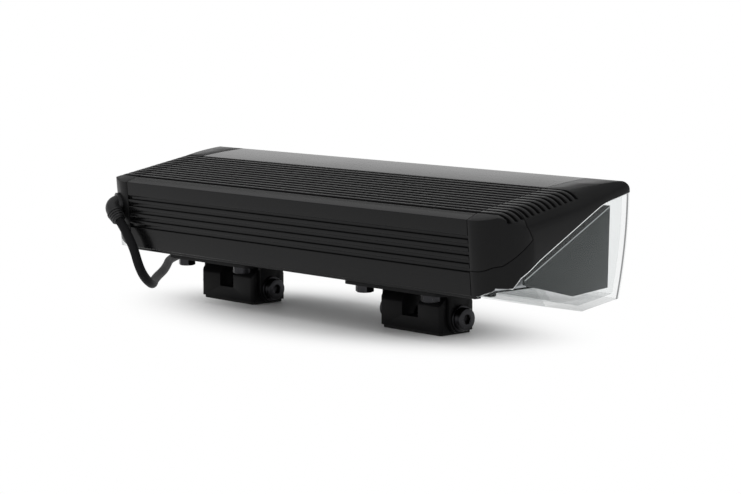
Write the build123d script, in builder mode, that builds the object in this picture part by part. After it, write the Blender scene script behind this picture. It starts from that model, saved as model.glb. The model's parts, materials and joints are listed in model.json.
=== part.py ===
from build123d import *
import os
from math import asin, atan2, cos, degrees, pi, radians, sin, sqrt, tan

# Wide LED headlight bar on two tilting feet. Millimetres, +Z up.
# X runs along the bar, +Y is the way the light shines, and the origin lies
# on the mounting surface, under the middle of the lamp.

os.makedirs("parts", exist_ok=True)

# Overall sizes of the lamp
extrusion_length = 254.0
cap_length = 23.0
floor_clearance = 24.8

# Outer section, measured from the rear bottom edge: u forwards, v up
rear_height = 34.6
rear_lean = 3.0
bevel_run = 7.3
bevel_rise = 3.0
rib_field_run = 42.6
rib_field_rise = 8.0
panel_start_angle = 8.0
body_depth = 80.4
rear_setback = 37.9
brow_height = 48.5
brow_radius = 3.8
body_wall = 3.0
panel_wall = 4.0

# Cooling ribs on top and shadow grooves on the rear
rib_groove_count = 13
rib_groove_width = 1.7
rib_groove_depth = 3.0
rib_groove_fall = 4.0
rear_groove_count = 5
rear_groove_width = 1.8
rear_groove_depth = 1.4
rear_groove_lowest = 11.7
rear_groove_pitch = 3.7

# Mounting rail under the rear edge
rail_centre = 9.2
rail_width = 14.0
rail_drop = 1.6
rail_lip = 2.0
rail_roof = 2.2
slot_mouth = 5.6
slot_width = 9.0
slot_height = 4.2

# Wall that carries the light board, and the floor in front of it
web_setback = 48.4
web_thickness = 3.5
sill_setback = 39.6
brow_seat_depth = 9.0

# Screw ports for the end plates
port_radius = 4.2
port_bore = 1.7
port_margin = 3.6

# End plates, seals and caps
seal_thickness = 1.0
end_plate_thickness = 2.5
end_plate_side_inset = 1.6
end_plate_top_inset = 4.0
end_plate_clearance = 0.2
cap_wall = 4.4
cheek_wall = 2.5
cap_gap = 0.4
cap_corner_radius = 20.0
cap_edge_radius = 12.0
cap_edge_front_radius = 6.0
bulkhead_thickness = 2.0
bulkhead_rear = 8.0
bulkhead_front = 26.0
bulkhead_foot = 9.0
plate_screw_length = 12.0
plate_screw_head_radius = 3.2
plate_screw_angle = 90.0
cap_screw_radius = 1.5
cap_screw_head_radius = 2.8
cap_screw_head_height = 2.0
cap_screw_length = 8.0
cap_screw_run = 14.0
cap_screw_low = 12.5
cap_screw_high = 29.5
wire_hole_run = 13.5
wire_hole_height = 21.5
wire_hole_radius = 3.6
grommet_wall = 1.0
screw_clearance = 0.1

# Seam between the corner cap and the end cap, in the side view
seam_height = 11.7
seam_rise_run = 1.0
seam_rise_height = 14.0
seam_bend_run = 3.7
seam_bend_height = 15.0
seam_knee_run = 15.6
seam_knee_height = 26.2
seam_neck_run = 12.7
seam_neck_height = 32.0
seam_top_run = 14.2

# Clear cover
cover_wall = 2.4
cover_seam = 0.3
cover_back_gap = 0.4
sill_flange = 5.8
chin_setback = 31.9
chin_drop = 9.2
toe_setback = 6.7
toe_drop = 5.6
bulge_setback = 1.5
bulge_height = 21.0
cheek_heel_run = 7.4
cheek_heel_height = 4.6
cheek_start_run = 10.4
cheek_start_height = 9.4
cheek_turn_run = 19.0
cheek_turn_height = 16.0
cheek_bend_setback = 18.0
cheek_bend_height = 39.2
cheek_bend_radius = 35.0
cheek_tip_height = 43.2
gasket_thickness = 1.3
gasket_inset = 0.8
brow_flange = 8.0
leg_run = 2.2
wedge_start = 3.0
wedge_run = 12.0

# Light unit
led_pitch = 34.0
led_end_margin = 2.0
led_height = 22.0
led_size = 5.0
led_thickness = 1.0
pad_thickness = 0.8
board_thickness = 1.6
board_height = 24.0
led_board_end = 6.0
bank_back_gap = 0.3
bank_end = 16.0
bank_setback = 28.4
bank_height = 29.4
cup_mouth_radius = 14.2
cup_throat_radius = 3.8
bezel_wall = 1.6
bezel_end_gap = 2.0
bezel_tail_run = 15.5
bezel_tail_low = 5.3
bezel_tail_high = 11.3
bezel_chin_setback = 33.4
bezel_chin_drop = 2.6
bezel_front_setback = 9.4
bezel_front_drop = 0.8
bezel_top_setback = 8.4
bezel_top_height = 37.3
bezel_back_setback = 20.9
bezel_hole_clearance = 0.3
bezel_back_gap = 0.1
board_screw_radius = 1.5
board_screw_length = 4.0
board_screw_head_radius = 2.6
board_screw_head_height = 1.6

# Driver in the rear chamber
driver_length = 190.0
driver_board_thickness = 1.6
cradle_count = 4
cradle_spacing = 46.0
cradle_length = 10.0
cradle_peg_radius = 1.5
cradle_width = 10.4
cradle_height = 8.2
cradle_wall = 1.6
cradle_gap = 0.1
capacitor_radius = 4.0
capacitor_height = 10.5
capacitor_spacing = 12.0
coil_radius = 6.0
coil_bore = 2.5
coil_height = 7.0
coil_spacing = 46.0
chip_length = 9.0
chip_width = 6.0
chip_height = 2.2
chip_spacing = 30.0
terminal_length = 14.0
terminal_width = 9.0
terminal_height = 8.0

# Feet: bracket, block, screws and pad
foot_inset = 58.0
pivot_run = 28.5
pivot_drop = 16.8
sheet = 2.0
wing_span = 66.0
wing_back = 4.4
wing_width = 11.6
wing_corner = 3.0
bracket_front = 36.2
ear_radius = 7.2
ear_gap = 0.15
rail_gap = 0.1
block_length = 42.0
block_depth = 22.0
barrel_radius = 12.4
block_corner = 2.0
foot_slot_width = 10.9
foot_slot_floor = 17.2
foot_hole_radius = 3.3
pad_height = 1.5
pad_inset = 1.0
pivot_radius = 3.0
pivot_clearance = 0.06
pivot_depth = 11.0
washer_radius = 6.3
washer_thickness = 1.0
washer_gap = 0.05
pivot_head_radius = 5.3
pivot_head_height = 3.3
socket_flats = 4.0
socket_depth = 2.0
rail_bolt_spacing = 45.0
rail_bolt_radius = 2.5
rail_bolt_flats = 8.0
rail_bolt_head = 3.5
thread_gap = 0.05
nut_length = 10.0
nut_clearance = 0.2
bolt_hole_clearance = 0.2

# Cable entry on the left corner cap
entry_inset = 12.5
entry_height = 23.0
entry_collar_radius = 5.2
entry_collar = 1.4
spigot_radius = 3.2
spigot_clearance = 0.1
spigot_end = 0.5
boot_radius = 4.0
boot_reach = 5.4
boot_bend = 4.3
boot_drop = 5.6
boot_heading = (0.74, -0.02, -0.67)
entry_nut_flats = 9.0
entry_nut_height = 3.0
relief_length = 7.0
relief_tip_radius = 3.1
relief_ring_count = 4
relief_ring_width = 0.9
relief_ring_height = 0.6
cord_radius = 2.5
core_radius = 1.0
core_spacing = 2.6
wire_bend = 2.8
wire_gap = 0.9

# Route of the lead below the boot: along the bar, forwards and up from the rear bottom edge
cord_first_run = 14.9
cord_places = [(-117.7, -1.7, -13.1), (-126.7, 12.8, -22.3),
               (-149.0, 30.7, -22.3), (-180.0, 62.0, -22.3), (-223.0, 98.0, -22.3),
               (-239.0, 138.0, -22.3), (-223.0, 174.0, -22.3), (-200.0, 192.0, -18.8),
               (-174.0, 192.0, -18.8)]
cord_share = 0.45

# Plug
plug_width = 16.0
plug_height = 12.0
plug_length = 30.0
plug_nose = 12.0
plug_wall = 1.4
plug_corner = 2.0
plug_boot_length = 7.0
plug_boot_radius = 5.2
plug_boot_tip = 3.4
pin_radius = 0.8
pin_spacing = 6.0
pin_length = 9.0
pin_root = 4.0
latch_width = 7.0
latch_height = 1.8
latch_length = 12.0

# Lengths that follow
half_extrusion = extrusion_length / 2
half_bar = half_extrusion + cap_length
bar_length = 2 * half_bar

# Height of the rear bottom edge and its place, so that the origin is under the middle
sill_z = floor_clearance
rear_y = -rear_setback

# Named corners and places of the section, as run and height
entry_x = entry_inset - half_bar
sill_front = body_depth - sill_setback
web_front = body_depth - web_setback
bank_front = body_depth - bank_setback
foot_x = half_extrusion - foot_inset
cheek_heel = (cheek_heel_run, cheek_heel_height)
cheek_start = (cheek_start_run, cheek_start_height)
cheek_turn = (cheek_turn_run, cheek_turn_height)
cheek_bend = (body_depth - cheek_bend_setback, cheek_bend_height)
chin = (body_depth - chin_setback, -chin_drop)
toe = (body_depth - toe_setback, -toe_drop)
wire_hole_place = (wire_hole_run, wire_hole_height)
cap_screw_places = [(cap_screw_run, cap_screw_high), (cap_screw_run, cap_screw_low)]
led_count = int((extrusion_length - 2 * (led_end_margin + led_board_end)) // led_pitch) + 1
heel = (0.0, 0.0)
rear_top = (-rear_lean, rear_height)
bevel_top = (bevel_run - rear_lean, rear_height + bevel_rise)
panel_back = (bevel_top[0] + rib_field_run, bevel_top[1] + rib_field_rise)
brow_back = (body_depth - brow_radius, brow_height)
brow_seat = brow_height - brow_radius
brow_tip = (body_depth, brow_seat)
rib_slope = rib_field_rise / rib_field_run
rib_angle = degrees(atan2(rib_field_rise, rib_field_run))
lean_angle = degrees(atan2(rear_lean, rear_height))
entry_turn = asin((cap_corner_radius - entry_inset) / cap_corner_radius)
rib_pitch = rib_field_run / (rib_groove_count - 1)


def section(x):
    """Plane across the bar at x, with u forwards and v up from the rear bottom edge."""
    return Plane(origin=(x, rear_y, sill_z), x_dir=(0, 1, 0), z_dir=(1, 0, 0))


def place(x, u, v):
    """Point of the model frame from bar position, run forwards and height."""
    return (x, rear_y + u, sill_z + v)


# Plane square to the leaning rear face, with x along the lamp and y forwards from the heel
heel_plane = Plane(origin=place(0, *heel), x_dir=(1, 0, 0),
                   z_dir=(0, -sin(radians(lean_angle)), cos(radians(lean_angle))))


def rib_top(u):
    """Height of the sloping rib field above the rear bottom edge."""
    return bevel_top[1] + (u - bevel_top[0]) * rib_slope


def rear_run(v):
    """Run of the leaning rear face at height v."""
    return -rear_lean * v / rear_height


def brow_middle():
    """Middle point of the rounded brow edge."""
    reach = brow_radius * sin(radians(45))
    return (brow_back[0] + reach, brow_seat + reach)


def top_outline():
    """Line of the rear, bevel, ribs, panel and brow, drawn from the heel to the brow tip."""
    Polyline(heel, rear_top, bevel_top, panel_back)
    TangentArc(panel_back, brow_back,
               tangent=(cos(radians(panel_start_angle)), sin(radians(panel_start_angle))))
    ThreePointArc(brow_back, brow_middle(), brow_tip)


def rib_groove_places(first, last):
    """Local places of the rib grooves numbered first to last."""
    return [Location((bevel_top[0] + i * rib_pitch, rib_top(bevel_top[0] + i * rib_pitch)),
                     rib_angle) for i in range(first, last)]


# Heat sink body: one aluminium extrusion
led_places = [(i - (led_count - 1) / 2) * led_pitch for i in range(led_count)]
screw_places_x = [x + led_pitch / 2 for x in led_places[:-1]]
inner_top_back = rib_top(web_front - web_thickness) - rib_groove_depth - body_wall
inner_top_front = rib_top(web_front) - rib_groove_depth - body_wall
rail_top = rail_lip - rail_drop + slot_height + rail_roof
chamber_rear_top = (rear_run(rear_height) + body_wall + rear_groove_depth,
                    rib_top(0) - rib_groove_depth - body_wall)
chamber_corners = [
    (rear_run(rail_top) + body_wall + rear_groove_depth, rail_top),
    chamber_rear_top,
    (web_front - web_thickness, inner_top_back),
    (web_front - web_thickness, body_wall),
    (rail_centre + rail_width / 2, body_wall),
    (rail_centre + rail_width / 2, rail_top),
]
port_places = [
    (chamber_rear_top[0] + port_margin, chamber_rear_top[1] - port_margin),
    (web_front - web_thickness - port_margin, inner_top_back - port_margin),
    (web_front - web_thickness - port_margin, body_wall + port_margin),
    (body_wall + port_margin - rear_lean / 2, rail_top + port_margin),
]

with BuildPart() as heat_sink_body:
    with BuildSketch(section(-half_extrusion)):
        with BuildLine():
            top_outline()
            Polyline(brow_tip, (body_depth - brow_seat_depth - brow_flange, brow_seat),
                     (panel_back[0], panel_back[1] - panel_wall),
                     (web_front, inner_top_front), (web_front, body_wall),
                     (sill_front, body_wall), (sill_front, 0),
                     (rail_centre + rail_width / 2, 0),
                     (rail_centre + rail_width / 2, -rail_drop),
                     (rail_centre - rail_width / 2, -rail_drop),
                     (rail_centre - rail_width / 2, 0), heel)
        make_face()
        with BuildLine():
            Polyline(*chamber_corners, close=True)
        make_face(mode=Mode.SUBTRACT)
        with Locations(*port_places):
            Circle(port_radius)
        with Locations(*port_places):
            Circle(port_bore, mode=Mode.SUBTRACT)
        with Locations((rail_centre, rail_lip - rail_drop + slot_height / 2)):
            Rectangle(slot_width, slot_height, mode=Mode.SUBTRACT)
        with Locations((rail_centre, rail_lip / 2 - rail_drop)):
            Rectangle(slot_mouth, rail_lip, mode=Mode.SUBTRACT)
        with Locations(*rib_groove_places(0, rib_groove_count)):
            Rectangle(rib_groove_width, 2 * rib_groove_depth, mode=Mode.SUBTRACT)
        rear_heights = [rear_groove_lowest + i * rear_groove_pitch for i in range(rear_groove_count)]
        with Locations(*[Location((rear_run(v), v), lean_angle) for v in rear_heights]):
            Rectangle(2 * rear_groove_depth, rear_groove_width, mode=Mode.SUBTRACT)
    extrude(amount=extrusion_length)
    with BuildSketch(Plane.XZ.offset(-rear_y - web_front)):
        with Locations(*[(x, sill_z + led_height) for x in screw_places_x]):
            Circle(board_screw_radius + screw_clearance)
    extrude(amount=web_thickness, mode=Mode.SUBTRACT)
heat_sink_body.part.label = "heat_sink_body"
export_step(heat_sink_body.part, "parts/heat_sink_body.step")

# Rounded ends and the outlines that the end pieces share
cap_start = half_extrusion + cap_gap
plate_back = half_extrusion + seal_thickness
plate_face = plate_back + end_plate_thickness
far = 2 * body_depth
plate_rear_top = (end_plate_side_inset - rear_lean,
                  rib_top(end_plate_side_inset - rear_lean) - end_plate_top_inset)
plate_corners = [
    (rear_run(end_plate_side_inset) + end_plate_side_inset, end_plate_side_inset),
    plate_rear_top,
    (web_front, rib_top(web_front) - end_plate_top_inset),
    (web_front, end_plate_side_inset),
]


def across(u):
    """Plane square to the rib field at run u, with x along the lamp and y up from the ribs."""
    slope = radians(rib_angle)
    return Plane(origin=place(0, u, rib_top(u)), x_dir=(1, 0, 0),
                 z_dir=(0, -cos(slope), -sin(slope)))


def end_profile(inset, end_inset, edge_radius):
    """Closed line of the rounded end edge, seen along the ribs and drawn in by the insets."""
    end = half_bar - end_inset
    FilletPolyline((0, -inset), (end, -inset), (end, -far), radius=edge_radius - inset)
    Polyline((end, -far), (0, -far), (0, -inset))


def end_plan(inset, end_inset):
    """Closed line of the rounded rear corner in plan, drawn in by the insets."""
    end = half_bar - end_inset
    FilletPolyline((0, inset), (end, inset), (end, far), radius=cap_corner_radius - inset)
    Polyline((end, far), (0, far), (0, inset))


def end_block(inset, end_inset, start):
    """Block with the lamp's rounded end, from start outwards, drawn in by the insets."""
    end = half_bar - end_inset
    with BuildPart() as block:
        with BuildSketch(section(start)):
            with BuildLine():
                top_outline()
                Polyline(brow_tip, (body_depth, -floor_clearance), (0, -floor_clearance), heel)
            make_face()
            offset(amount=-inset, kind=Kind.INTERSECTION)
        extrude(amount=end - start)
        with BuildSketch(heel_plane):
            with BuildLine():
                end_plan(inset, end_inset)
            make_face()
        extrude(amount=far, both=True, mode=Mode.INTERSECT)
        for run, edge_radius in ((-far, cap_edge_radius), (panel_back[0], cap_edge_radius),
                                 (body_depth + cap_edge_radius, cap_edge_front_radius)):
            with BuildSketch(across(run)):
                with BuildLine():
                    end_profile(inset, end_inset, edge_radius)
                make_face()
        loft(ruled=True, mode=Mode.INTERSECT)
    return block.part


def spots(x, places):
    """Places across the bar at x, facing +X."""
    return [section(x).location * Location((u, v, 0)) for u, v in places]


def write_pair(piece, name):
    """Write a right-hand end piece and its mirror image on the left."""
    piece.part.label = name + "_right"
    export_step(piece.part, "parts/" + name + "_right.step")
    with BuildPart() as twin:
        mirror(piece.part, about=Plane.YZ)
    twin.part.label = name + "_left"
    export_step(twin.part, "parts/" + name + "_left.step")


# End seals, end plates and the screws that close the rear chamber
with BuildPart() as end_seal:
    with BuildSketch(section(half_extrusion)):
        with BuildLine():
            Polyline(*plate_corners, close=True)
        make_face()
        with BuildLine():
            Polyline(*chamber_corners, close=True)
        make_face(mode=Mode.SUBTRACT)
        with Locations(*port_places):
            Circle(port_radius)
        with Locations(*port_places):
            Circle(port_bore, mode=Mode.SUBTRACT)
    extrude(amount=seal_thickness)
write_pair(end_seal, "end_seal")

with BuildPart() as end_plate:
    with BuildSketch(section(plate_back)):
        with BuildLine():
            Polyline(*plate_corners, close=True)
        make_face()
        with Locations(*cap_screw_places):
            Circle(cap_screw_radius + screw_clearance, mode=Mode.SUBTRACT)
    extrude(amount=end_plate_thickness)
    with Locations(*spots(plate_face, port_places)):
        CounterSinkHole(radius=port_bore, counter_sink_radius=plate_screw_head_radius + screw_clearance,
                        depth=end_plate_thickness, counter_sink_angle=plate_screw_angle)
end_plate.part.label = "end_plate_right"
export_step(end_plate.part, "parts/end_plate_right.step")

with BuildPart() as end_plate_left:
    mirror(end_plate.part, about=Plane.YZ)
    with Locations(*spots(0, [wire_hole_place])):
        Cylinder(wire_hole_radius, bar_length, mode=Mode.SUBTRACT)
end_plate_left.part.label = "end_plate_left"
export_step(end_plate_left.part, "parts/end_plate_left.step")

plate_screw_radius = port_bore - screw_clearance
plate_screw_taper = tan(radians(plate_screw_angle / 2))
plate_screw_head_height = (plate_screw_head_radius - plate_screw_radius) / plate_screw_taper
with BuildPart() as end_plate_screws:
    with BuildSketch(section(plate_face - plate_screw_length)):
        with Locations(*port_places):
            Circle(plate_screw_radius)
    extrude(amount=plate_screw_length)
    with Locations(*spots(plate_face, port_places)):
        Cone(plate_screw_radius, plate_screw_head_radius, plate_screw_head_height,
             align=(Align.CENTER, Align.CENTER, Align.MAX))
    mirror(about=Plane.YZ)
end_plate_screws.part.label = "end_plate_screws"
export_step(end_plate_screws.part, "parts/end_plate_screws.step")


# Shell of the moulded ends, later split along the seam into corner cap and end cap
outer_end = end_block(0, 0, cap_start)
inner_end = end_block(cap_wall, cheek_wall, half_extrusion)
seam_corners = [(-far, seam_height), (rear_run(seam_height), seam_height),
                (seam_rise_run, seam_rise_height), (seam_bend_run, seam_bend_height),
                (seam_knee_run, seam_knee_height), (seam_neck_run, seam_neck_height),
                (seam_top_run, brow_height), (seam_top_run, far), (-far, far)]

with BuildPart() as cap_shell:
    add(outer_end)
    add(inner_end, mode=Mode.SUBTRACT)
    with BuildSketch(section(half_extrusion)):
        with BuildLine():
            Polyline(*plate_corners, close=True)
        make_face()
        offset(amount=end_plate_clearance, kind=Kind.INTERSECTION)
    extrude(amount=plate_face + screw_clearance - half_extrusion, mode=Mode.SUBTRACT)
    for i in range(rib_groove_count):
        run = bevel_top[0] + i * rib_pitch
        with BuildSketch(across(run)):
            with Locations((half_extrusion, -rib_groove_fall)):
                Rectangle(far, far, align=(Align.MIN, Align.MIN))
            with BuildLine():
                end_profile(rib_groove_depth, rib_groove_depth, cap_edge_radius)
            make_face(mode=Mode.SUBTRACT)
        extrude(amount=rib_groove_width / 2, both=True, mode=Mode.SUBTRACT)

# Corner caps: the rear top corner of each end; the left one carries the cable entry
entry_run = cap_corner_radius * (1 - cos(entry_turn))
entry_rise = (entry_height - entry_run * sin(radians(lean_angle))) / cos(radians(lean_angle))
entry_axis = Plane(origin=heel_plane.from_local_coords((entry_x, entry_run, entry_rise)),
                   x_dir=heel_plane.x_dir * cos(entry_turn) - heel_plane.y_dir * sin(entry_turn),
                   z_dir=-heel_plane.x_dir * sin(entry_turn) - heel_plane.y_dir * cos(entry_turn))
with BuildPart() as corner_cap_right:
    add(cap_shell.part)
    with BuildSketch(section(half_extrusion)):
        with BuildLine():
            Polyline(*seam_corners, close=True)
        make_face()
    extrude(amount=cap_length, mode=Mode.INTERSECT)
corner_cap_right.part.label = "corner_cap_right"
export_step(corner_cap_right.part, "parts/corner_cap_right.step")

with BuildPart() as corner_cap_left:
    mirror(corner_cap_right.part, about=Plane.YZ)
    with BuildSketch(entry_axis):
        Circle(spigot_radius + spigot_clearance)
    extrude(amount=-2 * cap_wall, mode=Mode.SUBTRACT)
    with BuildSketch(entry_axis.offset(-cap_wall)):
        Circle(entry_nut_flats / 2 + entry_collar)
    extrude(amount=-2 * cap_wall, mode=Mode.SUBTRACT)
corner_cap_left.part.label = "corner_cap_left"
export_step(corner_cap_left.part, "parts/corner_cap_left.step")


def cheek_line(gap):
    """Lower edge of the end cap in the side view, from the heel to the brow, lowered by a gap."""
    Line((cheek_heel[0], cheek_heel[1] - gap), (cheek_start[0], cheek_start[1] - gap))
    FilletPolyline((cheek_start[0], cheek_start[1] - gap), (cheek_turn[0], cheek_turn[1] - gap),
                   (cheek_bend[0], cheek_bend[1] - gap), (body_depth, cheek_tip_height - gap),
                   radius=cheek_bend_radius)


# End caps: the rest of each moulded end, with the bulkhead that is screwed to the end plate
bulkhead_back = plate_face + screw_clearance
bulkhead_corners = [
    (leg_run, bulkhead_foot),
    (leg_run, seam_height - 2 * cap_gap),
    (bulkhead_rear, seam_height - 2 * cap_gap),
    (bulkhead_rear, rib_top(0) - cap_wall - 2 * cap_gap),
    (seam_top_run + 2 * cap_gap, rib_top(0) - cap_wall - 2 * cap_gap),
    (seam_top_run + 2 * cap_gap, rib_top(seam_top_run) - rib_groove_depth - cap_gap),
    (bulkhead_front, rib_top(bulkhead_front) - rib_groove_depth - cap_gap),
    (bulkhead_front, bulkhead_foot),
]
with BuildPart() as end_cap:
    add(cap_shell.part)
    with BuildSketch(section(half_extrusion)):
        with BuildLine():
            cheek_line(0)
            Polyline((body_depth, cheek_tip_height), (far, cheek_tip_height), (far, far),
                     (-far, far), (-far, 0), (leg_run, 0), (leg_run, cheek_heel[1]), cheek_heel)
        make_face()
        with BuildLine():
            Polyline(*seam_corners, close=True)
        seam_side = make_face(mode=Mode.PRIVATE)
        offset(seam_side, amount=cap_gap, kind=Kind.INTERSECTION, mode=Mode.SUBTRACT)
    extrude(amount=cap_length, mode=Mode.INTERSECT)
    with BuildSketch(Plane.XZ.offset(far)):
        with BuildLine():
            Polyline((half_extrusion + wedge_start, sill_z),
                     (half_extrusion + wedge_start + wedge_run, sill_z + cheek_heel[1]),
                     (far + half_bar, sill_z + cheek_heel[1]), (far + half_bar, sill_z), close=True)
        make_face()
    extrude(amount=-far - rear_y - leg_run, mode=Mode.SUBTRACT)
    with BuildSketch(section(bulkhead_back)):
        with BuildLine():
            Polyline(*bulkhead_corners, close=True)
        make_face()
        with Locations(*cap_screw_places):
            Circle(cap_screw_radius + screw_clearance, mode=Mode.SUBTRACT)
        with Locations(wire_hole_place):
            Circle(wire_hole_radius + 2 * grommet_wall, mode=Mode.SUBTRACT)
    extrude(amount=bulkhead_thickness)
end_cap.part.label = "end_cap_right"
export_step(end_cap.part, "parts/end_cap_right.step")

with BuildPart() as end_cap_left:
    mirror(end_cap.part, about=Plane.YZ)
    with BuildSketch(entry_axis):
        Circle(spigot_radius + spigot_clearance)
    extrude(amount=-2 * cap_wall, mode=Mode.SUBTRACT)
    with BuildSketch(entry_axis.offset(-cap_wall)):
        Circle(entry_nut_flats / 2 + entry_collar)
    extrude(amount=-entry_nut_height - 2 * spigot_end, mode=Mode.SUBTRACT)
end_cap_left.part.label = "end_cap_left"
export_step(end_cap_left.part, "parts/end_cap_left.step")

bulkhead_face = bulkhead_back + bulkhead_thickness
with BuildPart() as end_cap_screws:
    with BuildSketch(section(bulkhead_face - cap_screw_length)):
        with Locations(*cap_screw_places):
            Circle(cap_screw_radius)
    extrude(amount=cap_screw_length)
    with BuildSketch(section(bulkhead_face)):
        with Locations(*cap_screw_places):
            Circle(cap_screw_head_radius)
    extrude(amount=cap_screw_head_height)
    mirror(about=Plane.YZ)
end_cap_screws.part.label = "end_cap_screws"
export_step(end_cap_screws.part, "parts/end_cap_screws.step")

# Clear cover: front, ends and underside in one moulding
shelf = body_wall + gasket_thickness
flange_top = brow_seat - gasket_thickness
cover_back = sill_front + cover_back_gap
pocket_edge = cap_start + cover_wall


def cover_outline(rear_corner):
    """Closed side line of the cover below its rim, from a rear corner round the chin and front."""
    Polyline((rear_corner, far), (rear_corner, 0), chin, toe)
    ThreePointArc(toe, (body_depth - bulge_setback, bulge_height), (body_depth, flange_top))
    Polyline((body_depth, flange_top), (body_depth, far), (rear_corner, far))


with BuildPart() as end_pocket:
    with BuildSketch(section(pocket_edge)):
        with BuildLine():
            cover_outline(0)
        make_face()
        offset(amount=-cover_wall, kind=Kind.INTERSECTION)
    extrude(amount=half_bar - cover_wall - pocket_edge)
    with BuildSketch(heel_plane):
        with BuildLine():
            end_plan(cover_wall, cover_wall)
        make_face()
    extrude(amount=far, both=True, mode=Mode.INTERSECT)

with BuildPart() as lens_cover:
    with BuildSketch(section(-half_bar)):
        with BuildLine():
            cover_outline(0)
        make_face()
    extrude(amount=bar_length)
    with BuildSketch(heel_plane):
        with BuildLine():
            FilletPolyline((-half_bar, far), (-half_bar, 0), (half_bar, 0), (half_bar, far),
                           radius=cap_corner_radius)
            Line((half_bar, far), (-half_bar, far))
        make_face()
    extrude(amount=far, both=True, mode=Mode.INTERSECT)
    with BuildSketch(section(-half_bar)):
        with BuildLine():
            cheek_line(cover_seam)
            Polyline((cheek_heel[0], cheek_heel[1] - cover_seam),
                     (-far, cheek_heel[1] - cover_seam), (-far, -far), (far, -far),
                     (far, cheek_tip_height - cover_seam), (body_depth, cheek_tip_height - cover_seam))
        make_face()
    extrude(amount=bar_length, mode=Mode.INTERSECT)
    # Hollow of the end pockets
    add(end_pocket.part, mode=Mode.SUBTRACT)
    mirror(end_pocket.part, about=Plane.YZ, mode=Mode.SUBTRACT)
    # Hollow of the long middle, and room for the body and the end plates
    with BuildSketch(section(-pocket_edge)):
        with BuildLine():
            cover_outline(cover_back)
        make_face()
        offset(amount=-cover_wall, kind=Kind.INTERSECTION)
    extrude(amount=2 * pocket_edge, mode=Mode.SUBTRACT)
    with BuildSketch(section(-plate_face - screw_clearance)):
        with BuildLine():
            Polyline((-far, end_plate_side_inset - cover_back_gap),
                     (cover_back, end_plate_side_inset - cover_back_gap),
                     (cover_back, shelf + cover_wall), (cover_back + cover_wall, shelf + cover_wall),
                     (cover_back + cover_wall, far), (-far, far), close=True)
        make_face()
    extrude(amount=2 * (plate_face + screw_clearance), mode=Mode.SUBTRACT)
    with BuildSketch(section(-cap_start)):
        with BuildLine():
            Polyline((-far, -chin_drop), chin, (cover_back, 0),
                     (cover_back, far), (-far, far), close=True)
        make_face()
    extrude(amount=2 * cap_start, mode=Mode.SUBTRACT)
    # Room for the heel legs of the end caps
    with BuildSketch(Plane.XZ.offset(far)):
        with BuildLine():
            Polyline((half_extrusion + wedge_start, sill_z - cover_seam),
                     (half_extrusion + wedge_start + wedge_run, sill_z + cheek_heel[1] - cover_seam),
                     (half_extrusion + wedge_start + wedge_run, sill_z + cheek_bend[1]),
                     (0, sill_z + cheek_bend[1]), (0, sill_z - cover_seam), close=True)
        make_face()
        mirror(about=Plane.YZ)
    extrude(amount=-far - rear_y - leg_run - cover_seam, mode=Mode.SUBTRACT)
    # Flange on the body's sill, and flange under the brow
    with BuildSketch(section(-half_extrusion)):
        with Locations((cover_back + cover_wall, shelf)):
            Rectangle(sill_flange + cover_wall, cover_wall, align=(Align.MAX, Align.MIN))
        with Locations((body_depth - gasket_inset / 2, flange_top)):
            Rectangle(brow_flange, cover_wall, align=(Align.MAX, Align.MAX))
    extrude(amount=extrusion_length)
lens_cover.part.label = "lens_cover"
export_step(lens_cover.part, "parts/lens_cover.step")

# Gaskets between the cover and the body
with BuildPart() as brow_gasket:
    with BuildSketch(section(gasket_inset - half_extrusion)):
        with Locations((body_depth - 2 * gasket_inset, brow_seat)):
            Rectangle(brow_flange - 2 * gasket_inset, gasket_thickness, align=(Align.MAX, Align.MAX))
    extrude(amount=extrusion_length - 2 * gasket_inset)
brow_gasket.part.label = "brow_gasket"
export_step(brow_gasket.part, "parts/brow_gasket.step")

with BuildPart() as sill_gasket:
    with BuildSketch(section(gasket_inset - half_extrusion)):
        with Locations((sill_front, body_wall)):
            Rectangle(sill_flange - gasket_inset, gasket_thickness, align=(Align.MAX, Align.MIN))
    extrude(amount=extrusion_length - 2 * gasket_inset)
sill_gasket.part.label = "sill_gasket"
export_step(sill_gasket.part, "parts/sill_gasket.step")

# Light unit: pad and board on the web, chips, reflector bank and dark bezel
board_half = led_places[-1] + led_board_end
bank_half = led_places[-1] + bank_end


def facing(u, v=0.0):
    """Plane facing forwards at run u, with local x along the lamp and local y up from v."""
    return Plane(origin=place(0, u, v), x_dir=(-1, 0, 0), z_dir=(0, 1, 0))


board_back = web_front + pad_thickness
board_front = board_back + board_thickness
with BuildPart() as thermal_pad:
    with BuildSketch(facing(web_front, led_height)):
        Rectangle(2 * board_half, board_height)
        with Locations(*[(x, 0) for x in screw_places_x]):
            Circle(board_screw_radius + screw_clearance, mode=Mode.SUBTRACT)
    extrude(amount=pad_thickness)
thermal_pad.part.label = "thermal_pad"
export_step(thermal_pad.part, "parts/thermal_pad.step")

with BuildPart() as led_board:
    with BuildSketch(facing(board_back, led_height)):
        Rectangle(2 * board_half, board_height)
        with Locations(*[(x, 0) for x in screw_places_x]):
            Circle(board_screw_radius + screw_clearance, mode=Mode.SUBTRACT)
    extrude(amount=board_thickness)
led_board.part.label = "led_board"
export_step(led_board.part, "parts/led_board.step")

with BuildPart() as led_chips:
    with BuildSketch(facing(board_front, led_height)):
        with Locations(*[(x, 0) for x in led_places]):
            Rectangle(led_size, led_size)
    extrude(amount=led_thickness)
led_chips.part.label = "led_chips"
export_step(led_chips.part, "parts/led_chips.step")

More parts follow.
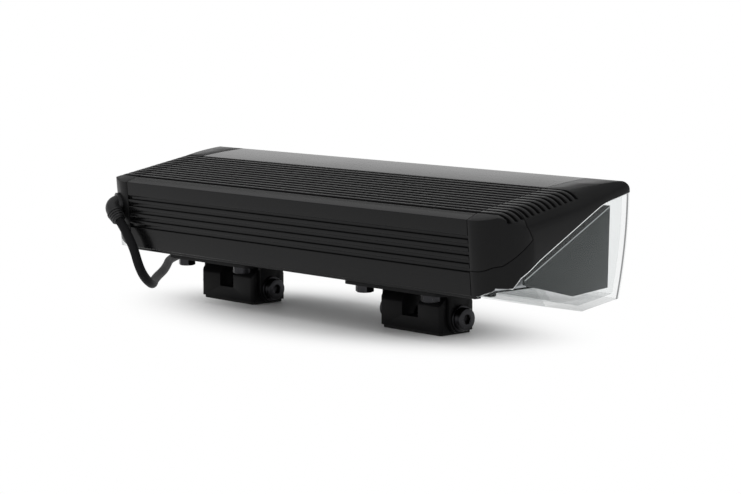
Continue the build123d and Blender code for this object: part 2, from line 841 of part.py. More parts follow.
with BuildPart() as led_board_screws:
    with BuildSketch(facing(board_front, led_height)):
        with Locations(*[(x, 0) for x in screw_places_x]):
            Circle(board_screw_radius)
    extrude(amount=-board_screw_length)
    with BuildSketch(facing(board_front, led_height)):
        with Locations(*[(x, 0) for x in screw_places_x]):
            Circle(board_screw_head_radius)
    extrude(amount=board_screw_head_height)
led_board_screws.part.label = "led_board_screws"
export_step(led_board_screws.part, "parts/led_board_screws.step")

# One parabolic cup, turned about the axis of its light chip
bank_back = board_front + bank_back_gap
cup_depth = bank_front - bank_back
cup_bend = (cup_throat_radius * cup_depth / (cup_mouth_radius + cup_throat_radius),
            (cup_mouth_radius + cup_throat_radius) / 2)
with BuildPart() as cup:
    with BuildSketch(Plane.XY):
        with BuildLine():
            Bezier((cup_throat_radius, 0), (cup_bend[1], cup_bend[0]), (cup_mouth_radius, cup_depth))
            Polyline((cup_mouth_radius, cup_depth), (0, cup_depth), (0, 0), (cup_throat_radius, 0))
        make_face()
    revolve(axis=Axis.Y)

with BuildPart() as reflector_bank:
    with BuildSketch(facing(bank_back, led_height)):
        Rectangle(2 * bank_half, bank_height)
    extrude(amount=cup_depth)
    with Locations(*[place(x, bank_back, led_height) for x in led_places]):
        add(cup.part, mode=Mode.SUBTRACT)
    with BuildSketch(facing(bank_back, led_height)):
        with Locations(*[(x, 0) for x in screw_places_x]):
            Circle(board_screw_head_radius + bezel_hole_clearance)
    extrude(amount=board_screw_head_height, mode=Mode.SUBTRACT)
reflector_bank.part.label = "reflector_bank"
export_step(reflector_bank.part, "parts/reflector_bank.step")

bezel_half = half_bar - cheek_wall - bezel_end_gap
bezel_back = bank_front + bezel_back_gap
bezel_inner_top = bezel_top_height - bezel_wall
with BuildPart() as inner_bezel:
    with BuildSketch(section(-bezel_half)):
        with BuildLine():
            Polyline((bezel_tail_run, bezel_tail_high), (bezel_tail_run, bezel_tail_low),
                     (body_depth - bezel_chin_setback, -bezel_chin_drop),
                     (body_depth - bezel_front_setback, -bezel_front_drop),
                     (body_depth - bezel_top_setback, bezel_top_height),
                     (body_depth - bezel_back_setback, bezel_top_height), close=True)
        make_face()
    extrude(amount=2 * bezel_half)
    with BuildSketch(section(bezel_wall - bezel_half)):
        with BuildLine():
            Polyline((bezel_back + bezel_wall, bezel_wall - bezel_chin_drop),
                     (body_depth - bezel_front_setback, bezel_wall - bezel_front_drop),
                     (far, bezel_wall - bezel_front_drop), (far, bezel_inner_top),
                     (bezel_back + bezel_wall, bezel_inner_top), close=True)
        make_face()
        with BuildLine():
            Polyline((-far, -far), (bezel_back, -far), (bezel_back, far), (-far, far), close=True)
        make_face()
    extrude(amount=2 * (bezel_half - bezel_wall), mode=Mode.SUBTRACT)
    with BuildSketch(facing(bezel_back, led_height)):
        with Locations(*[(x, 0) for x in led_places]):
            Circle(cup_mouth_radius + bezel_hole_clearance)
    extrude(amount=bezel_wall, mode=Mode.SUBTRACT)
inner_bezel.part.label = "inner_bezel"
export_step(inner_bezel.part, "parts/inner_bezel.step")

# Driver: a board on moulded cradles in the rear chamber
board_base = rail_top + cradle_height
driver_run = (port_places[3][0] + port_radius + port_places[2][0] - port_radius) / 2
driver_width = port_places[2][0] - port_places[3][0]
driver_top = board_base + driver_board_thickness
cradle_places = [(i - (cradle_count - 1) / 2) * cradle_spacing for i in range(cradle_count)]


def level(v):
    """Level plane at height v over the driver's middle line, facing up."""
    return Plane(origin=place(0, driver_run, v), x_dir=(1, 0, 0), z_dir=(0, 0, 1))


with BuildPart() as driver_cradles:
    with BuildSketch(level(rail_top)):
        with Locations(*[(x, 0) for x in cradle_places]):
            Rectangle(cradle_length, cradle_width)
            Rectangle(cradle_length - 2 * cradle_wall, cradle_width - 2 * cradle_wall, mode=Mode.SUBTRACT)
    extrude(amount=cradle_height - cradle_wall)
    with BuildSketch(level(board_base - cradle_wall)):
        with Locations(*[(x, 0) for x in cradle_places]):
            Rectangle(cradle_length, cradle_width)
    extrude(amount=cradle_wall)
    with BuildSketch(level(board_base)):
        with Locations(*[(x, 0) for x in cradle_places]):
            Circle(cradle_peg_radius)
    extrude(amount=driver_board_thickness + cradle_wall)
driver_cradles.part.label = "driver_cradles"
export_step(driver_cradles.part, "parts/driver_cradles.step")

with BuildPart() as driver_board:
    with BuildSketch(level(board_base)):
        Rectangle(driver_length, driver_width)
        with Locations(*[(x, 0) for x in cradle_places]):
            Circle(cradle_peg_radius + cradle_gap, mode=Mode.SUBTRACT)
    extrude(amount=driver_board_thickness)
driver_board.part.label = "driver_board"
export_step(driver_board.part, "parts/driver_board.step")

with BuildPart() as driver_capacitors:
    with BuildSketch(level(driver_top)):
        with Locations(*[(capacitor_spacing * i, 0) for i in (-1, 0, 1)]):
            Circle(capacitor_radius)
    extrude(amount=capacitor_height)
driver_capacitors.part.label = "driver_capacitors"
export_step(driver_capacitors.part, "parts/driver_capacitors.step")

with BuildPart() as driver_coils:
    with BuildSketch(level(driver_top)):
        with Locations((-coil_spacing, 0), (coil_spacing, 0)):
            Circle(coil_radius)
            Circle(coil_bore, mode=Mode.SUBTRACT)
    extrude(amount=coil_height)
driver_coils.part.label = "driver_coils"
export_step(driver_coils.part, "parts/driver_coils.step")

with BuildPart() as driver_chips:
    with BuildSketch(level(driver_top)):
        with Locations((-chip_spacing, 0), (chip_spacing, 0)):
            Rectangle(chip_length, chip_width)
    extrude(amount=chip_height)
driver_chips.part.label = "driver_chips"
export_step(driver_chips.part, "parts/driver_chips.step")

terminal_x = (terminal_length - driver_length) / 2
with BuildPart() as terminal_block:
    with BuildSketch(level(driver_top)):
        with Locations((terminal_x, 0)):
            Rectangle(terminal_length, terminal_width)
    extrude(amount=terminal_height)
terminal_block.part.label = "terminal_block"
export_step(terminal_block.part, "parts/terminal_block.step")

# Feet: the same parts at both places along the rail
ear_inner = block_length / 2 + ear_gap
ear_outer = ear_inner + sheet
plate_top = -rail_drop - rail_gap
plate_under = plate_top - sheet
nut_height = slot_height - 2 * nut_clearance
nut_base = rail_lip - rail_drop + nut_clearance
block_base = pad_height - floor_clearance


def under(x, v):
    """Level plane below the body at height v, centred on x, measured forwards from the rear edge."""
    return Plane(origin=place(x, 0, v), x_dir=(1, 0, 0), z_dir=(0, 0, 1))


for side, x in (("left", -foot_x), ("right", foot_x)):
    with BuildPart() as mount_bracket:
        with BuildSketch(under(x, plate_under)):
            with Locations((0, wing_back + wing_width / 2)):
                RectangleRounded(wing_span, wing_width, wing_corner)
            with Locations((0, wing_back)):
                Rectangle(2 * ear_outer, bracket_front - wing_back, align=(Align.CENTER, Align.MIN))
            with Locations(*[(i * rail_bolt_spacing / 2, rail_centre) for i in (-1, 1)]):
                Circle(rail_bolt_radius + bolt_hole_clearance, mode=Mode.SUBTRACT)
        extrude(amount=sheet)
        for inner in (x - ear_outer, x + ear_inner):
            with BuildSketch(section(inner)):
                with Locations((pivot_run, -pivot_drop)):
                    Circle(ear_radius)
                    Rectangle(2 * ear_radius, pivot_drop + plate_top, align=(Align.CENTER, Align.MIN))
                    Circle(pivot_radius + pivot_clearance, mode=Mode.SUBTRACT)
            extrude(amount=sheet)
    mount_bracket.part.label = "mount_bracket_" + side
    export_step(mount_bracket.part, "parts/mount_bracket_" + side + ".step")

    with BuildPart() as bracket_bolts:
        bolt_places = [(i * rail_bolt_spacing / 2, rail_centre) for i in (-1, 1)]
        with BuildSketch(under(x, plate_under)):
            with Locations(*bolt_places):
                RegularPolygon(rail_bolt_flats / 2, 6, major_radius=False)
        extrude(amount=-rail_bolt_head)
        with BuildSketch(under(x, plate_under)):
            with Locations(*bolt_places):
                Circle(rail_bolt_radius)
        extrude(amount=nut_base + nut_height - plate_under)
    bracket_bolts.part.label = "bracket_bolts_" + side
    export_step(bracket_bolts.part, "parts/bracket_bolts_" + side + ".step")

    with BuildPart() as slot_nuts:
        with BuildSketch(under(x, nut_base)):
            with Locations(*bolt_places):
                Rectangle(nut_length, slot_width - 2 * nut_clearance)
                Circle(rail_bolt_radius + thread_gap, mode=Mode.SUBTRACT)
        extrude(amount=nut_height)
    slot_nuts.part.label = "slot_nuts_" + side
    export_step(slot_nuts.part, "parts/slot_nuts_" + side + ".step")

    with BuildPart() as foot_block:
        shoulder = sqrt(barrel_radius ** 2 - (block_depth / 2) ** 2) - pivot_drop
        with BuildSketch(section(x - block_length / 2)):
            with BuildLine():
                Polyline((pivot_run - block_depth / 2, shoulder),
                         (pivot_run - block_depth / 2, block_base),
                         (pivot_run + block_depth / 2, block_base),
                         (pivot_run + block_depth / 2, shoulder))
                ThreePointArc((pivot_run + block_depth / 2, shoulder),
                              (pivot_run, barrel_radius - pivot_drop),
                              (pivot_run - block_depth / 2, shoulder))
            make_face()
        extrude(amount=block_length)
        with BuildSketch(under(x, block_base)):
            with Locations((0, pivot_run)):
                RectangleRounded(block_length, block_depth, block_corner)
        extrude(amount=floor_clearance, mode=Mode.INTERSECT)
        with BuildSketch(under(x, -foot_slot_floor)):
            with Locations((0, pivot_run)):
                Rectangle(foot_slot_width, 2 * block_depth)
        extrude(amount=foot_slot_floor, mode=Mode.SUBTRACT)
        with BuildSketch(under(x, block_base)):
            with Locations((0, pivot_run)):
                Circle(foot_hole_radius)
        extrude(amount=floor_clearance, mode=Mode.SUBTRACT)
        with BuildSketch(section(x - block_length / 2)):
            with Locations((pivot_run, -pivot_drop)):
                Circle(pivot_radius + thread_gap)
        extrude(amount=block_length, mode=Mode.SUBTRACT)
    foot_block.part.label = "foot_block_" + side
    export_step(foot_block.part, "parts/foot_block_" + side + ".step")

    with BuildPart() as foot_pad:
        with BuildSketch(under(x, -floor_clearance)):
            with Locations((0, pivot_run)):
                RectangleRounded(block_length - 2 * pad_inset, block_depth - 2 * pad_inset,
                                 block_corner - pad_inset / 2)
                Circle(foot_hole_radius, mode=Mode.SUBTRACT)
        extrude(amount=pad_height)
    foot_pad.part.label = "foot_pad_" + side
    export_step(foot_pad.part, "parts/foot_pad_" + side + ".step")

    washer_inner = ear_outer + washer_gap
    with BuildPart() as pivot_washers:
        for inner in (x - washer_inner - washer_thickness, x + washer_inner):
            with BuildSketch(section(inner)):
                with Locations((pivot_run, -pivot_drop)):
                    Circle(washer_radius)
                    Circle(pivot_radius + pivot_clearance, mode=Mode.SUBTRACT)
            extrude(amount=washer_thickness)
    pivot_washers.part.label = "pivot_washers_" + side
    export_step(pivot_washers.part, "parts/pivot_washers_" + side + ".step")

    head_inner = washer_inner + washer_thickness
    with BuildPart() as pivot_screws:
        for way in (-1, 1):
            with BuildSketch(section(x + way * (block_length / 2 - pivot_depth))):
                with Locations((pivot_run, -pivot_drop)):
                    Circle(pivot_radius)
            extrude(amount=way * (head_inner - block_length / 2 + pivot_depth))
            with BuildSketch(section(x + way * head_inner)):
                with Locations((pivot_run, -pivot_drop)):
                    Circle(pivot_head_radius)
            extrude(amount=way * pivot_head_height)
            with BuildSketch(section(x + way * (head_inner + pivot_head_height))):
                with Locations((pivot_run, -pivot_drop)):
                    RegularPolygon(socket_flats / 2, 6, major_radius=False)
            extrude(amount=-way * socket_depth, mode=Mode.SUBTRACT)
    pivot_screws.part.label = "pivot_screws_" + side
    export_step(pivot_screws.part, "parts/pivot_screws_" + side + ".step")

# Cable entry: boot moulded on the cable, nut behind the cap, grommet and supply wires
spigot_length = cap_wall + entry_nut_height + spigot_end
heading = Vector(*boot_heading).normalized()
entry_point = entry_axis.origin
elbow_point = entry_point + entry_axis.z_dir * boot_reach
relief_start = elbow_point + heading * boot_drop
cord_start = relief_start + heading * relief_length
ring_step = relief_length / (relief_ring_count + 1)
relief_axis = Plane(origin=relief_start, z_dir=heading)
with BuildPart() as cable_boot:
    with BuildSketch(entry_axis.offset(entry_collar)):
        Circle(entry_collar_radius)
    extrude(amount=-entry_collar - cap_wall)
    mirror(outer_end, about=Plane.YZ, mode=Mode.SUBTRACT)
    with BuildSketch(entry_axis):
        Circle(spigot_radius)
    extrude(amount=-spigot_length)
    with BuildLine():
        FilletPolyline(entry_point, elbow_point, relief_start, radius=boot_bend)
    with BuildSketch(entry_axis):
        Circle(boot_radius)
    sweep()
    with Locations(relief_axis.location):
        Cone(boot_radius, relief_tip_radius, relief_length,
             align=(Align.CENTER, Align.CENTER, Align.MIN))
    for i in range(relief_ring_count):
        slim = boot_radius + (relief_tip_radius - boot_radius) * (i + 1) / (relief_ring_count + 1)
        with BuildSketch(relief_axis.offset((i + 1) * ring_step - relief_ring_width / 2)):
            Circle(slim + relief_ring_height)
        extrude(amount=relief_ring_width)
cable_boot.part.label = "cable_boot"
export_step(cable_boot.part, "parts/cable_boot.step")

with BuildPart() as entry_nut:
    with BuildSketch(entry_axis.offset(-cap_wall - thread_gap)):
        RegularPolygon(entry_nut_flats / 2, 6, major_radius=False, rotation=30)
        Circle(spigot_radius + thread_gap, mode=Mode.SUBTRACT)
    extrude(amount=-entry_nut_height)
entry_nut.part.label = "entry_nut"
export_step(entry_nut.part, "parts/entry_nut.step")

wire_heights = (wire_hole_place[1] - core_spacing / 2, wire_hole_place[1] + core_spacing / 2)
with BuildPart() as wire_grommet:
    with BuildSketch(section(-plate_face - grommet_wall)):
        with Locations(wire_hole_place):
            Circle(wire_hole_radius + grommet_wall)
    extrude(amount=grommet_wall)
    with BuildSketch(section(-plate_face)):
        with Locations(wire_hole_place):
            Circle(wire_hole_radius - thread_gap)
    extrude(amount=end_plate_thickness)
    with BuildSketch(section(-plate_back)):
        with Locations(wire_hole_place):
            Circle(wire_hole_radius + grommet_wall)
    extrude(amount=grommet_wall)
    with BuildSketch(section(-half_bar)):
        with Locations(*[(wire_hole_place[0], v) for v in wire_heights]):
            Circle(core_radius + thread_gap)
    extrude(amount=half_bar, mode=Mode.SUBTRACT)
wire_grommet.part.label = "wire_grommet"
export_step(wire_grommet.part, "parts/wire_grommet.step")

spigot_face = entry_point - entry_axis.z_dir * spigot_length
wire_start = spigot_face.Y - rear_y + wire_gap
with BuildPart() as supply_wires:
    for v in wire_heights:
        with BuildLine():
            FilletPolyline(place(spigot_face.X, wire_start, v),
                           place(spigot_face.X, wire_hole_place[0], v),
                           place(-driver_length / 2, wire_hole_place[0], v), radius=wire_bend)
        with BuildSketch(Plane(origin=place(spigot_face.X, wire_start, v), z_dir=(0, 1, 0))):
            Circle(core_radius)
        sweep()
supply_wires.part.label = "supply_wires"
export_step(supply_wires.part, "parts/supply_wires.step")

# Lead: a round cord from the boot down to the surface and round behind the lamp to its plug
cord_points = [cord_start, cord_start + heading * cord_first_run]
cord_points += [Vector(*place(*point)) for point in cord_places]
cord_runs = [cord_points[i + 1] - cord_points[i] for i in range(len(cord_points) - 1)]
cord_radii = []
for before, after in zip(cord_runs, cord_runs[1:]):
    shorter = min(before.length, after.length)
    cord_radii.append(cord_share * shorter / tan(radians(before.get_angle(after)) / 2))
print("cord runs", [round(run.length, 1) for run in cord_runs])
print("cord radii", [round(radius, 1) for radius in cord_radii])
with BuildPart() as lead_cord:
    with BuildLine() as cord_route:
        FilletPolyline(*cord_points, radius=cord_radii)
    with BuildSketch(Plane(origin=cord_start, z_dir=cord_runs[0])):
        Circle(cord_radius)
    sweep()
lead_cord.part.label = "lead_cord"
export_step(lead_cord.part, "parts/lead_cord.step")
cord_length = sum(edge.length for edge in cord_route.edges())
volume_share = lead_cord.part.volume / (cord_length * pi * cord_radius ** 2)
print("cord length", cord_length, "volume share", volume_share)

# Plug: a two-pin waterproof connector lying on the surface
plug_axis = Plane(origin=cord_points[-1], x_dir=(0, 1, 0), z_dir=(1, 0, 0))
shell_axis = plug_axis.offset(plug_boot_length)
with BuildPart() as connector_boot:
    with Locations(plug_axis.location):
        Cone(plug_boot_tip, plug_boot_radius, plug_boot_length,
             align=(Align.CENTER, Align.CENTER, Align.MIN))
connector_boot.part.label = "connector_boot"
export_step(connector_boot.part, "parts/connector_boot.step")

pin_places = [(-pin_spacing / 2, 0), (pin_spacing / 2, 0)]
with BuildPart() as connector_shell:
    with BuildSketch(shell_axis):
        RectangleRounded(plug_width, plug_height, plug_corner)
    extrude(amount=plug_length)
    with BuildSketch(shell_axis.offset(plug_length - plug_nose)):
        RectangleRounded(plug_width - 2 * plug_wall, plug_height - 2 * plug_wall, plug_corner - plug_wall)
    extrude(amount=plug_nose, mode=Mode.SUBTRACT)
    with BuildSketch(shell_axis.offset(plug_length - plug_nose - pin_root)):
        with Locations(*pin_places):
            Circle(pin_radius + thread_gap)
    extrude(amount=pin_root, mode=Mode.SUBTRACT)
    with BuildSketch(shell_axis.offset(plug_length - plug_nose)):
        with Locations((0, plug_height / 2)):
            Rectangle(latch_width, 2 * latch_height)
        with BuildLine():
            Polyline((-latch_width, -plug_height), (latch_width, -plug_height),
                     (latch_width, plug_height / 2 - plug_wall / 2),
                     (-latch_width, plug_height / 2 - plug_wall / 2), close=True)
        make_face(mode=Mode.SUBTRACT)
    extrude(amount=-latch_length)
connector_shell.part.label = "connector_shell"
export_step(connector_shell.part, "parts/connector_shell.step")

with BuildPart() as connector_pins:
    with BuildSketch(shell_axis.offset(plug_length - plug_nose - pin_root)):
        with Locations(*pin_places):
            Circle(pin_radius)
    extrude(amount=pin_length + pin_root)
connector_pins.part.label = "connector_pins"
export_step(connector_pins.part, "parts/connector_pins.step")
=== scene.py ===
from math import cos, pi, radians, sin
import json
import bmesh
import bpy
from mathutils import Matrix, Vector


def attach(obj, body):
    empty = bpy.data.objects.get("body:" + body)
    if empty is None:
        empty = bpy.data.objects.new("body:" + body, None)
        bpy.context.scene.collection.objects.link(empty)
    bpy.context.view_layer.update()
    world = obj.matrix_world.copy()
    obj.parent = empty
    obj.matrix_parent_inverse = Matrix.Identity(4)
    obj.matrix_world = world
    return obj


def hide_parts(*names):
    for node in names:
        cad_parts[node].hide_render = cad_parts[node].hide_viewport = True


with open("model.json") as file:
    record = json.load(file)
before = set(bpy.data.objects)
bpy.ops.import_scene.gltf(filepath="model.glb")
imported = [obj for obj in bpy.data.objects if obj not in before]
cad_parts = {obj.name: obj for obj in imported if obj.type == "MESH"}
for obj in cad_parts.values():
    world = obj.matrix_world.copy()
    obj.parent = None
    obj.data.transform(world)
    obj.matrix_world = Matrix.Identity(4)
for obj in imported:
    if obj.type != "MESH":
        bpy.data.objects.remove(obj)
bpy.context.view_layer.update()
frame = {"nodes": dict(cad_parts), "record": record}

# Camera: a long lens behind the lamp, a little above it and well round to its right, at
# the photograph's viewing angle.
camera_data = bpy.data.cameras.new("photo_camera")
camera_data.sensor_fit = "HORIZONTAL"
camera_data.sensor_width = 36.0
camera_data.lens = 2178 / 741 * 36.0
camera_data.clip_start = 0.01
camera = bpy.data.objects.new("photo_camera", camera_data)
camera.location = (0.8074, -0.7219, 0.1625)
camera.rotation_euler = (pi / 2 - 0.119247, 0.0, 0.829256)
bpy.context.scene.collection.objects.link(camera)
bpy.context.scene.camera = camera
bpy.context.scene.view_settings.view_transform = "Standard"


# Lead: a round two-core cable 5 mm thick, jacketed in soft black rubber. It drops from its
# boot to the surface and runs out of sight behind the lamp to a two-pin plug.
class Reading:
    """A number that a node works out, on which plain sums can be written."""

    def __init__(self, sheet, socket):
        self.sheet = sheet
        self.socket = socket

    def sum(self, operation, first, second):
        return self.sheet.node("ShaderNodeMath", {"operation": operation}, {0: first, 1: second})

    def __add__(self, other):
        return self.sum("ADD", self, other)

    def __radd__(self, other):
        return self.sum("ADD", other, self)

    def __sub__(self, other):
        return self.sum("SUBTRACT", self, other)

    def __rsub__(self, other):
        return self.sum("SUBTRACT", other, self)

    def __mul__(self, other):
        return self.sum("MULTIPLY", self, other)

    def __rmul__(self, other):
        return self.sum("MULTIPLY", other, self)

    def less(self, limit):
        return self.sum("LESS_THAN", self, limit)

    def more(self, limit):
        return self.sum("GREATER_THAN", self, limit)

    def size(self):
        return self.sum("ABSOLUTE", self, 0.0)

    def clamped(self):
        """The same number, kept between nought and one."""
        self.socket.node.use_clamp = True
        return self


class Sheet:
    """A node tree that is filled in one node at a time."""

    def __init__(self, tree):
        self.tree = tree
        self.tree.nodes.clear()

    def node(self, kind, settings=None, inputs=None, output=0):
        made = self.tree.nodes.new(kind)
        for name, value in (settings or {}).items():
            if name == "stops":
                for i, (position, colour) in enumerate(value):
                    stops = made.color_ramp.elements
                    stop = stops[i] if i < len(stops) else stops.new(position)
                    stop.position = position
                    stop.color = colour
            else:
                setattr(made, name, value)
        for name, value in (inputs or {}).items():
            if isinstance(value, Reading):
                self.tree.links.new(value.socket, made.inputs[name])
            else:
                made.inputs[name].default_value = value
        return Reading(self, made.outputs[output] if len(made.outputs) else None)

    def ray(self, kind):
        return self.node("ShaderNodeLightPath", None, None, f"Is {kind} Ray")

    def along(self, axis):
        """Distance of a point from the frame's centre, along one axis."""
        return self.node("ShaderNodeSeparateXYZ", None, {0: self.place}, axis)

    def mixed(self, amount, *pair):
        """Colour between two, each given as a reading or as red, green and blue."""
        first, second = (tone if isinstance(tone, Reading) else (*tone, 1.0) for tone in pair)
        return self.node("ShaderNodeMix", {"data_type": "RGBA"},
                         {0: amount, 6: first, 7: second}, output=2)


class Finish(Sheet):
    """One surface finish of the lamp, built round a single surface shader."""

    def __init__(self, name, **fixed):
        self.material = bpy.data.materials.new(name)
        self.material.use_nodes = True
        super().__init__(self.material.node_tree)
        fixed = {key.replace("_", " "): value for key, value in fixed.items()}
        self.shader = self.node("ShaderNodeBsdfPrincipled", None, fixed)
        self.node("ShaderNodeOutputMaterial", None, {"Surface": self.shader})
        self.place = self.node("ShaderNodeTexCoord", None, None, "Object")

    def feed(self, name, reading):
        self.tree.links.new(reading.socket, self.shader.socket.node.inputs[name])

    def cover_with(self, amount, under, over):
        """Shows one surface turning into another by the amount, in place of the shader alone."""
        surface = self.node("ShaderNodeMixShader", None, {0: amount, 1: under, 2: over})
        self.tree.links.new(surface.socket, self.tree.nodes["Material Output"].inputs["Surface"])

    def noise(self, scale, detail=2.0, stretch=(1.0, 1.0, 1.0)):
        where = self.node("ShaderNodeMapping", None, {"Vector": self.place, "Scale": stretch})
        return self.node("ShaderNodeTexNoise", None,
                         {"Vector": where, "Scale": scale, "Detail": detail, "Roughness": 0.55})

    def tint(self, amount, dark, light):
        self.colour = self.mixed(amount, dark, light)
        self.feed("Base Color", self.colour)

    def relief(self, height, depth):
        self.feed("Normal", self.node("ShaderNodeBump", None, {"Height": height, "Distance": depth}))


rear_edge, bottom_edge = -37.9, 24.8


def at(x, u, v):
    """Place in metres, from millimetres along, forwards and up from the rear bottom edge."""
    return (x / 1000, (u + rear_edge) / 1000, (v + bottom_edge) / 1000)


def settle(piece, body, slot_name, *nodes):
    """The piece moves with its body and stands for these solids; its slot name is not used."""
    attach(piece, body)
    if nodes:
        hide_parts(*nodes)


def rubber(name, dark, light, rough, grain=900.0, depth=0.00003, shine=0.14):
    """Moulded rubber: dull, with a fine dusty grain and faint handling patches."""
    finish = Finish(name, Specular_IOR_Level=shine)
    fine = finish.noise(grain, 4.0)
    patch = finish.noise(55.0, 2.0)
    finish.tint(patch, dark, light)
    finish.feed("Roughness", rough + (fine - 0.5) * 0.12 + (patch - 0.5) * 0.14)
    finish.relief(fine, depth)
    return finish


cord_rubber = rubber("cord_rubber", (0.008, 0.008, 0.0085), (0.015, 0.015, 0.016), 0.55,
                     grain=700.0, depth=0.000004, shine=0.04)
cord_diameter = 0.005
cord_start = at(-130.19, -5.77, 14.11)
cord_places = [(-119.14, -6.07, 4.11), (-117.7, -1.7, -13.1), (-126.7, 12.8, -22.3),
               (-149.0, 30.7, -22.3), (-180.0, 62.0, -22.3), (-223.0, 98.0, -22.3),
               (-239.0, 138.0, -22.3), (-223.0, 174.0, -22.3), (-200.0, 192.0, -18.8),
               (-174.0, 192.0, -18.8)]
curve = bpy.data.curves.new("lead", "CURVE")
curve.dimensions = "3D"
curve.bevel_depth = cord_diameter / 2
curve.bevel_resolution = 5
curve.resolution_u = 16
curve.use_fill_caps = True
route = curve.splines.new("NURBS")
route.points.add(len(cord_places))
for point, place in zip(route.points, [cord_start] + [at(*place) for place in cord_places]):
    point.co = (*place, 1.0)
route.order_u = 3
route.use_endpoint_u = True
curve.materials.append(cord_rubber.material)
lead = bpy.data.objects.new("lead", curve)
bpy.context.scene.collection.objects.link(lead)
settle(lead, "lamp", "cable_rubber", "lead_cord")


# Boot and plug: the boot is moulded onto the cable, with a collar against the cap, an elbow
# and a ringed strain relief. The plug's shell is black nylon with a latch, its pins are brass.
def worked(piece, angle=32.0):
    """The piece as a plain mesh, shaded smooth but sharp at edges that turn more than the angle."""
    depsgraph = bpy.context.evaluated_depsgraph_get()
    plain = bpy.data.meshes.new_from_object(piece.evaluated_get(depsgraph))
    piece.modifiers.clear()
    piece.data = plain
    plain.shade_smooth()
    plain.set_sharp_from_angle(angle=radians(angle))
    return piece


def new_piece(name, mesh, finish=None):
    """New object at the origin that shows the mesh in the finish."""
    if finish:
        mesh.materials.clear()
        mesh.materials.append(finish.material)
    piece = bpy.data.objects.new(name, mesh)
    bpy.context.scene.collection.objects.link(piece)
    return piece


def rounded(node, name, finish, edge, body="lamp", turn=32.0, steps=2):
    """Piece with a solid's exact shape and its hard edges rounded, as moulding or tumbling does."""
    mesh = frame["nodes"][node].data.copy()
    shape = bmesh.new()
    shape.from_mesh(mesh)
    bmesh.ops.remove_doubles(shape, verts=shape.verts, dist=2e-6)
    bmesh.ops.dissolve_limit(shape, angle_limit=radians(0.6), verts=shape.verts, edges=shape.edges)
    shape.to_mesh(mesh)
    shape.free()
    for layer in list(mesh.attributes):
        if layer.name in ("custom_normal", "sharp_edge", "sharp_face"):
            mesh.attributes.remove(layer)
    piece = new_piece(name, mesh, finish)
    bevel = piece.modifiers.new("rounded edges", "BEVEL")
    bevel.width = edge / 1000
    bevel.segments = steps
    bevel.limit_method = "ANGLE"
    bevel.angle_limit = radians(turn)
    bevel.miter_outer = "MITER_ARC"
    worked(piece, 40.0)
    slot_name = next(part["material_slot"] for part in frame["record"]["subparts"]
                     if part["node"] == node)
    settle(piece, body, slot_name, node)
    return piece


boot_rubber = rubber("boot_rubber", (0.012, 0.012, 0.0125), (0.019, 0.019, 0.020), 0.45, shine=0.35)
cable_boot = rounded("cable_boot", "boot", boot_rubber, 0.25)
plug_boot = rounded("connector_boot", "plug_boot", boot_rubber, 0.4)


def moulded(name, dark, light, rough, grain=1600.0, depth=0.000012, shine=0.3, **fixed):
    """Moulded plastic: a fine spark-eroded grain, and faint flow patches in its sheen."""
    finish = Finish(name, Specular_IOR_Level=shine, **fixed)
    fine = finish.noise(grain, 3.0)
    patch = finish.noise(38.0, 3.0)
    finish.tint(patch, dark, light)
    finish.feed("Roughness", rough + (fine - 0.5) * 0.10 + (patch - 0.5) * 0.08)
    finish.relief(fine, depth)
    return finish


plug_nylon = moulded("plug_nylon", (0.012, 0.012, 0.012), (0.02, 0.02, 0.02), 0.45)
plug_shell = rounded("connector_shell", "plug_shell", plug_nylon, 0.35)


def plated(name, dark, light, rough, scale=700.0, stretch=(1.0, 1.0, 1.0), depth=0.000004):
    """Bare or plated metal: bright, with fine working marks and a slightly uneven sheen."""
    finish = Finish(name, Metallic=1.0)
    marks = finish.noise(scale, 4.0, stretch)
    cloud = finish.noise(60.0, 2.0)
    finish.tint(cloud, dark, light)
    finish.feed("Roughness", rough + (marks - 0.5) * 0.14 + (cloud - 0.5) * 0.08)
    finish.relief(marks, depth)
    return finish


pin_brass = plated("pin_brass", (0.66, 0.50, 0.22), (0.80, 0.64, 0.32), 0.24)
plug_pins = rounded("connector_pins", "plug_pins", pin_brass, 0.2)


# Floor and light: a white sheet that keeps the shadow close under the lamp and fades to pure
# white in an oval round it. Three soft lamps light it, from above, from the back and one side.
floor_finish = Finish("floor_white", Roughness=0.55, Specular_IOR_Level=0.35)
fade_start, fade_end = 0.045, 0.145
oval = floor_finish.node("ShaderNodeMapping", None,
                         {"Vector": floor_finish.place, "Location": (-0.009, 0.015, 0.0),
                          "Scale": (0.9, 1.5, 1.0)})
away = floor_finish.node("ShaderNodeVectorMath", {"operation": "LENGTH"}, {0: oval}, "Value")
fade = floor_finish.node("ShaderNodeMapRange", {"interpolation_type": "SMOOTHERSTEP"},
                         {"Value": away, "From Min": fade_start, "From Max": fade_end})
paper = floor_finish.noise(260.0, 4.0)
floor_finish.tint(paper, (0.93, 0.93, 0.93), (0.95, 0.95, 0.95))
floor_finish.relief(paper, 0.00001)
seen = floor_finish.ray("Camera") + floor_finish.ray("Glossy") + floor_finish.ray("Transmission")
white = floor_finish.node("ShaderNodeEmission", None, {"Color": (1, 1, 1, 1), "Strength": 1.0})
floor_finish.cover_with(fade * seen.clamped(), floor_finish.shader, white)
sheet_shape = bmesh.new()
bmesh.ops.create_circle(sheet_shape, cap_ends=True, segments=96, radius=6.0)
sheet_mesh = bpy.data.meshes.new("floor_sheet")
sheet_shape.to_mesh(sheet_mesh)
sheet_shape.free()
floor = new_piece("floor_sheet", sheet_mesh, floor_finish)

world = bpy.data.worlds.new("white_studio")
world.use_nodes = True
bpy.context.scene.world = world
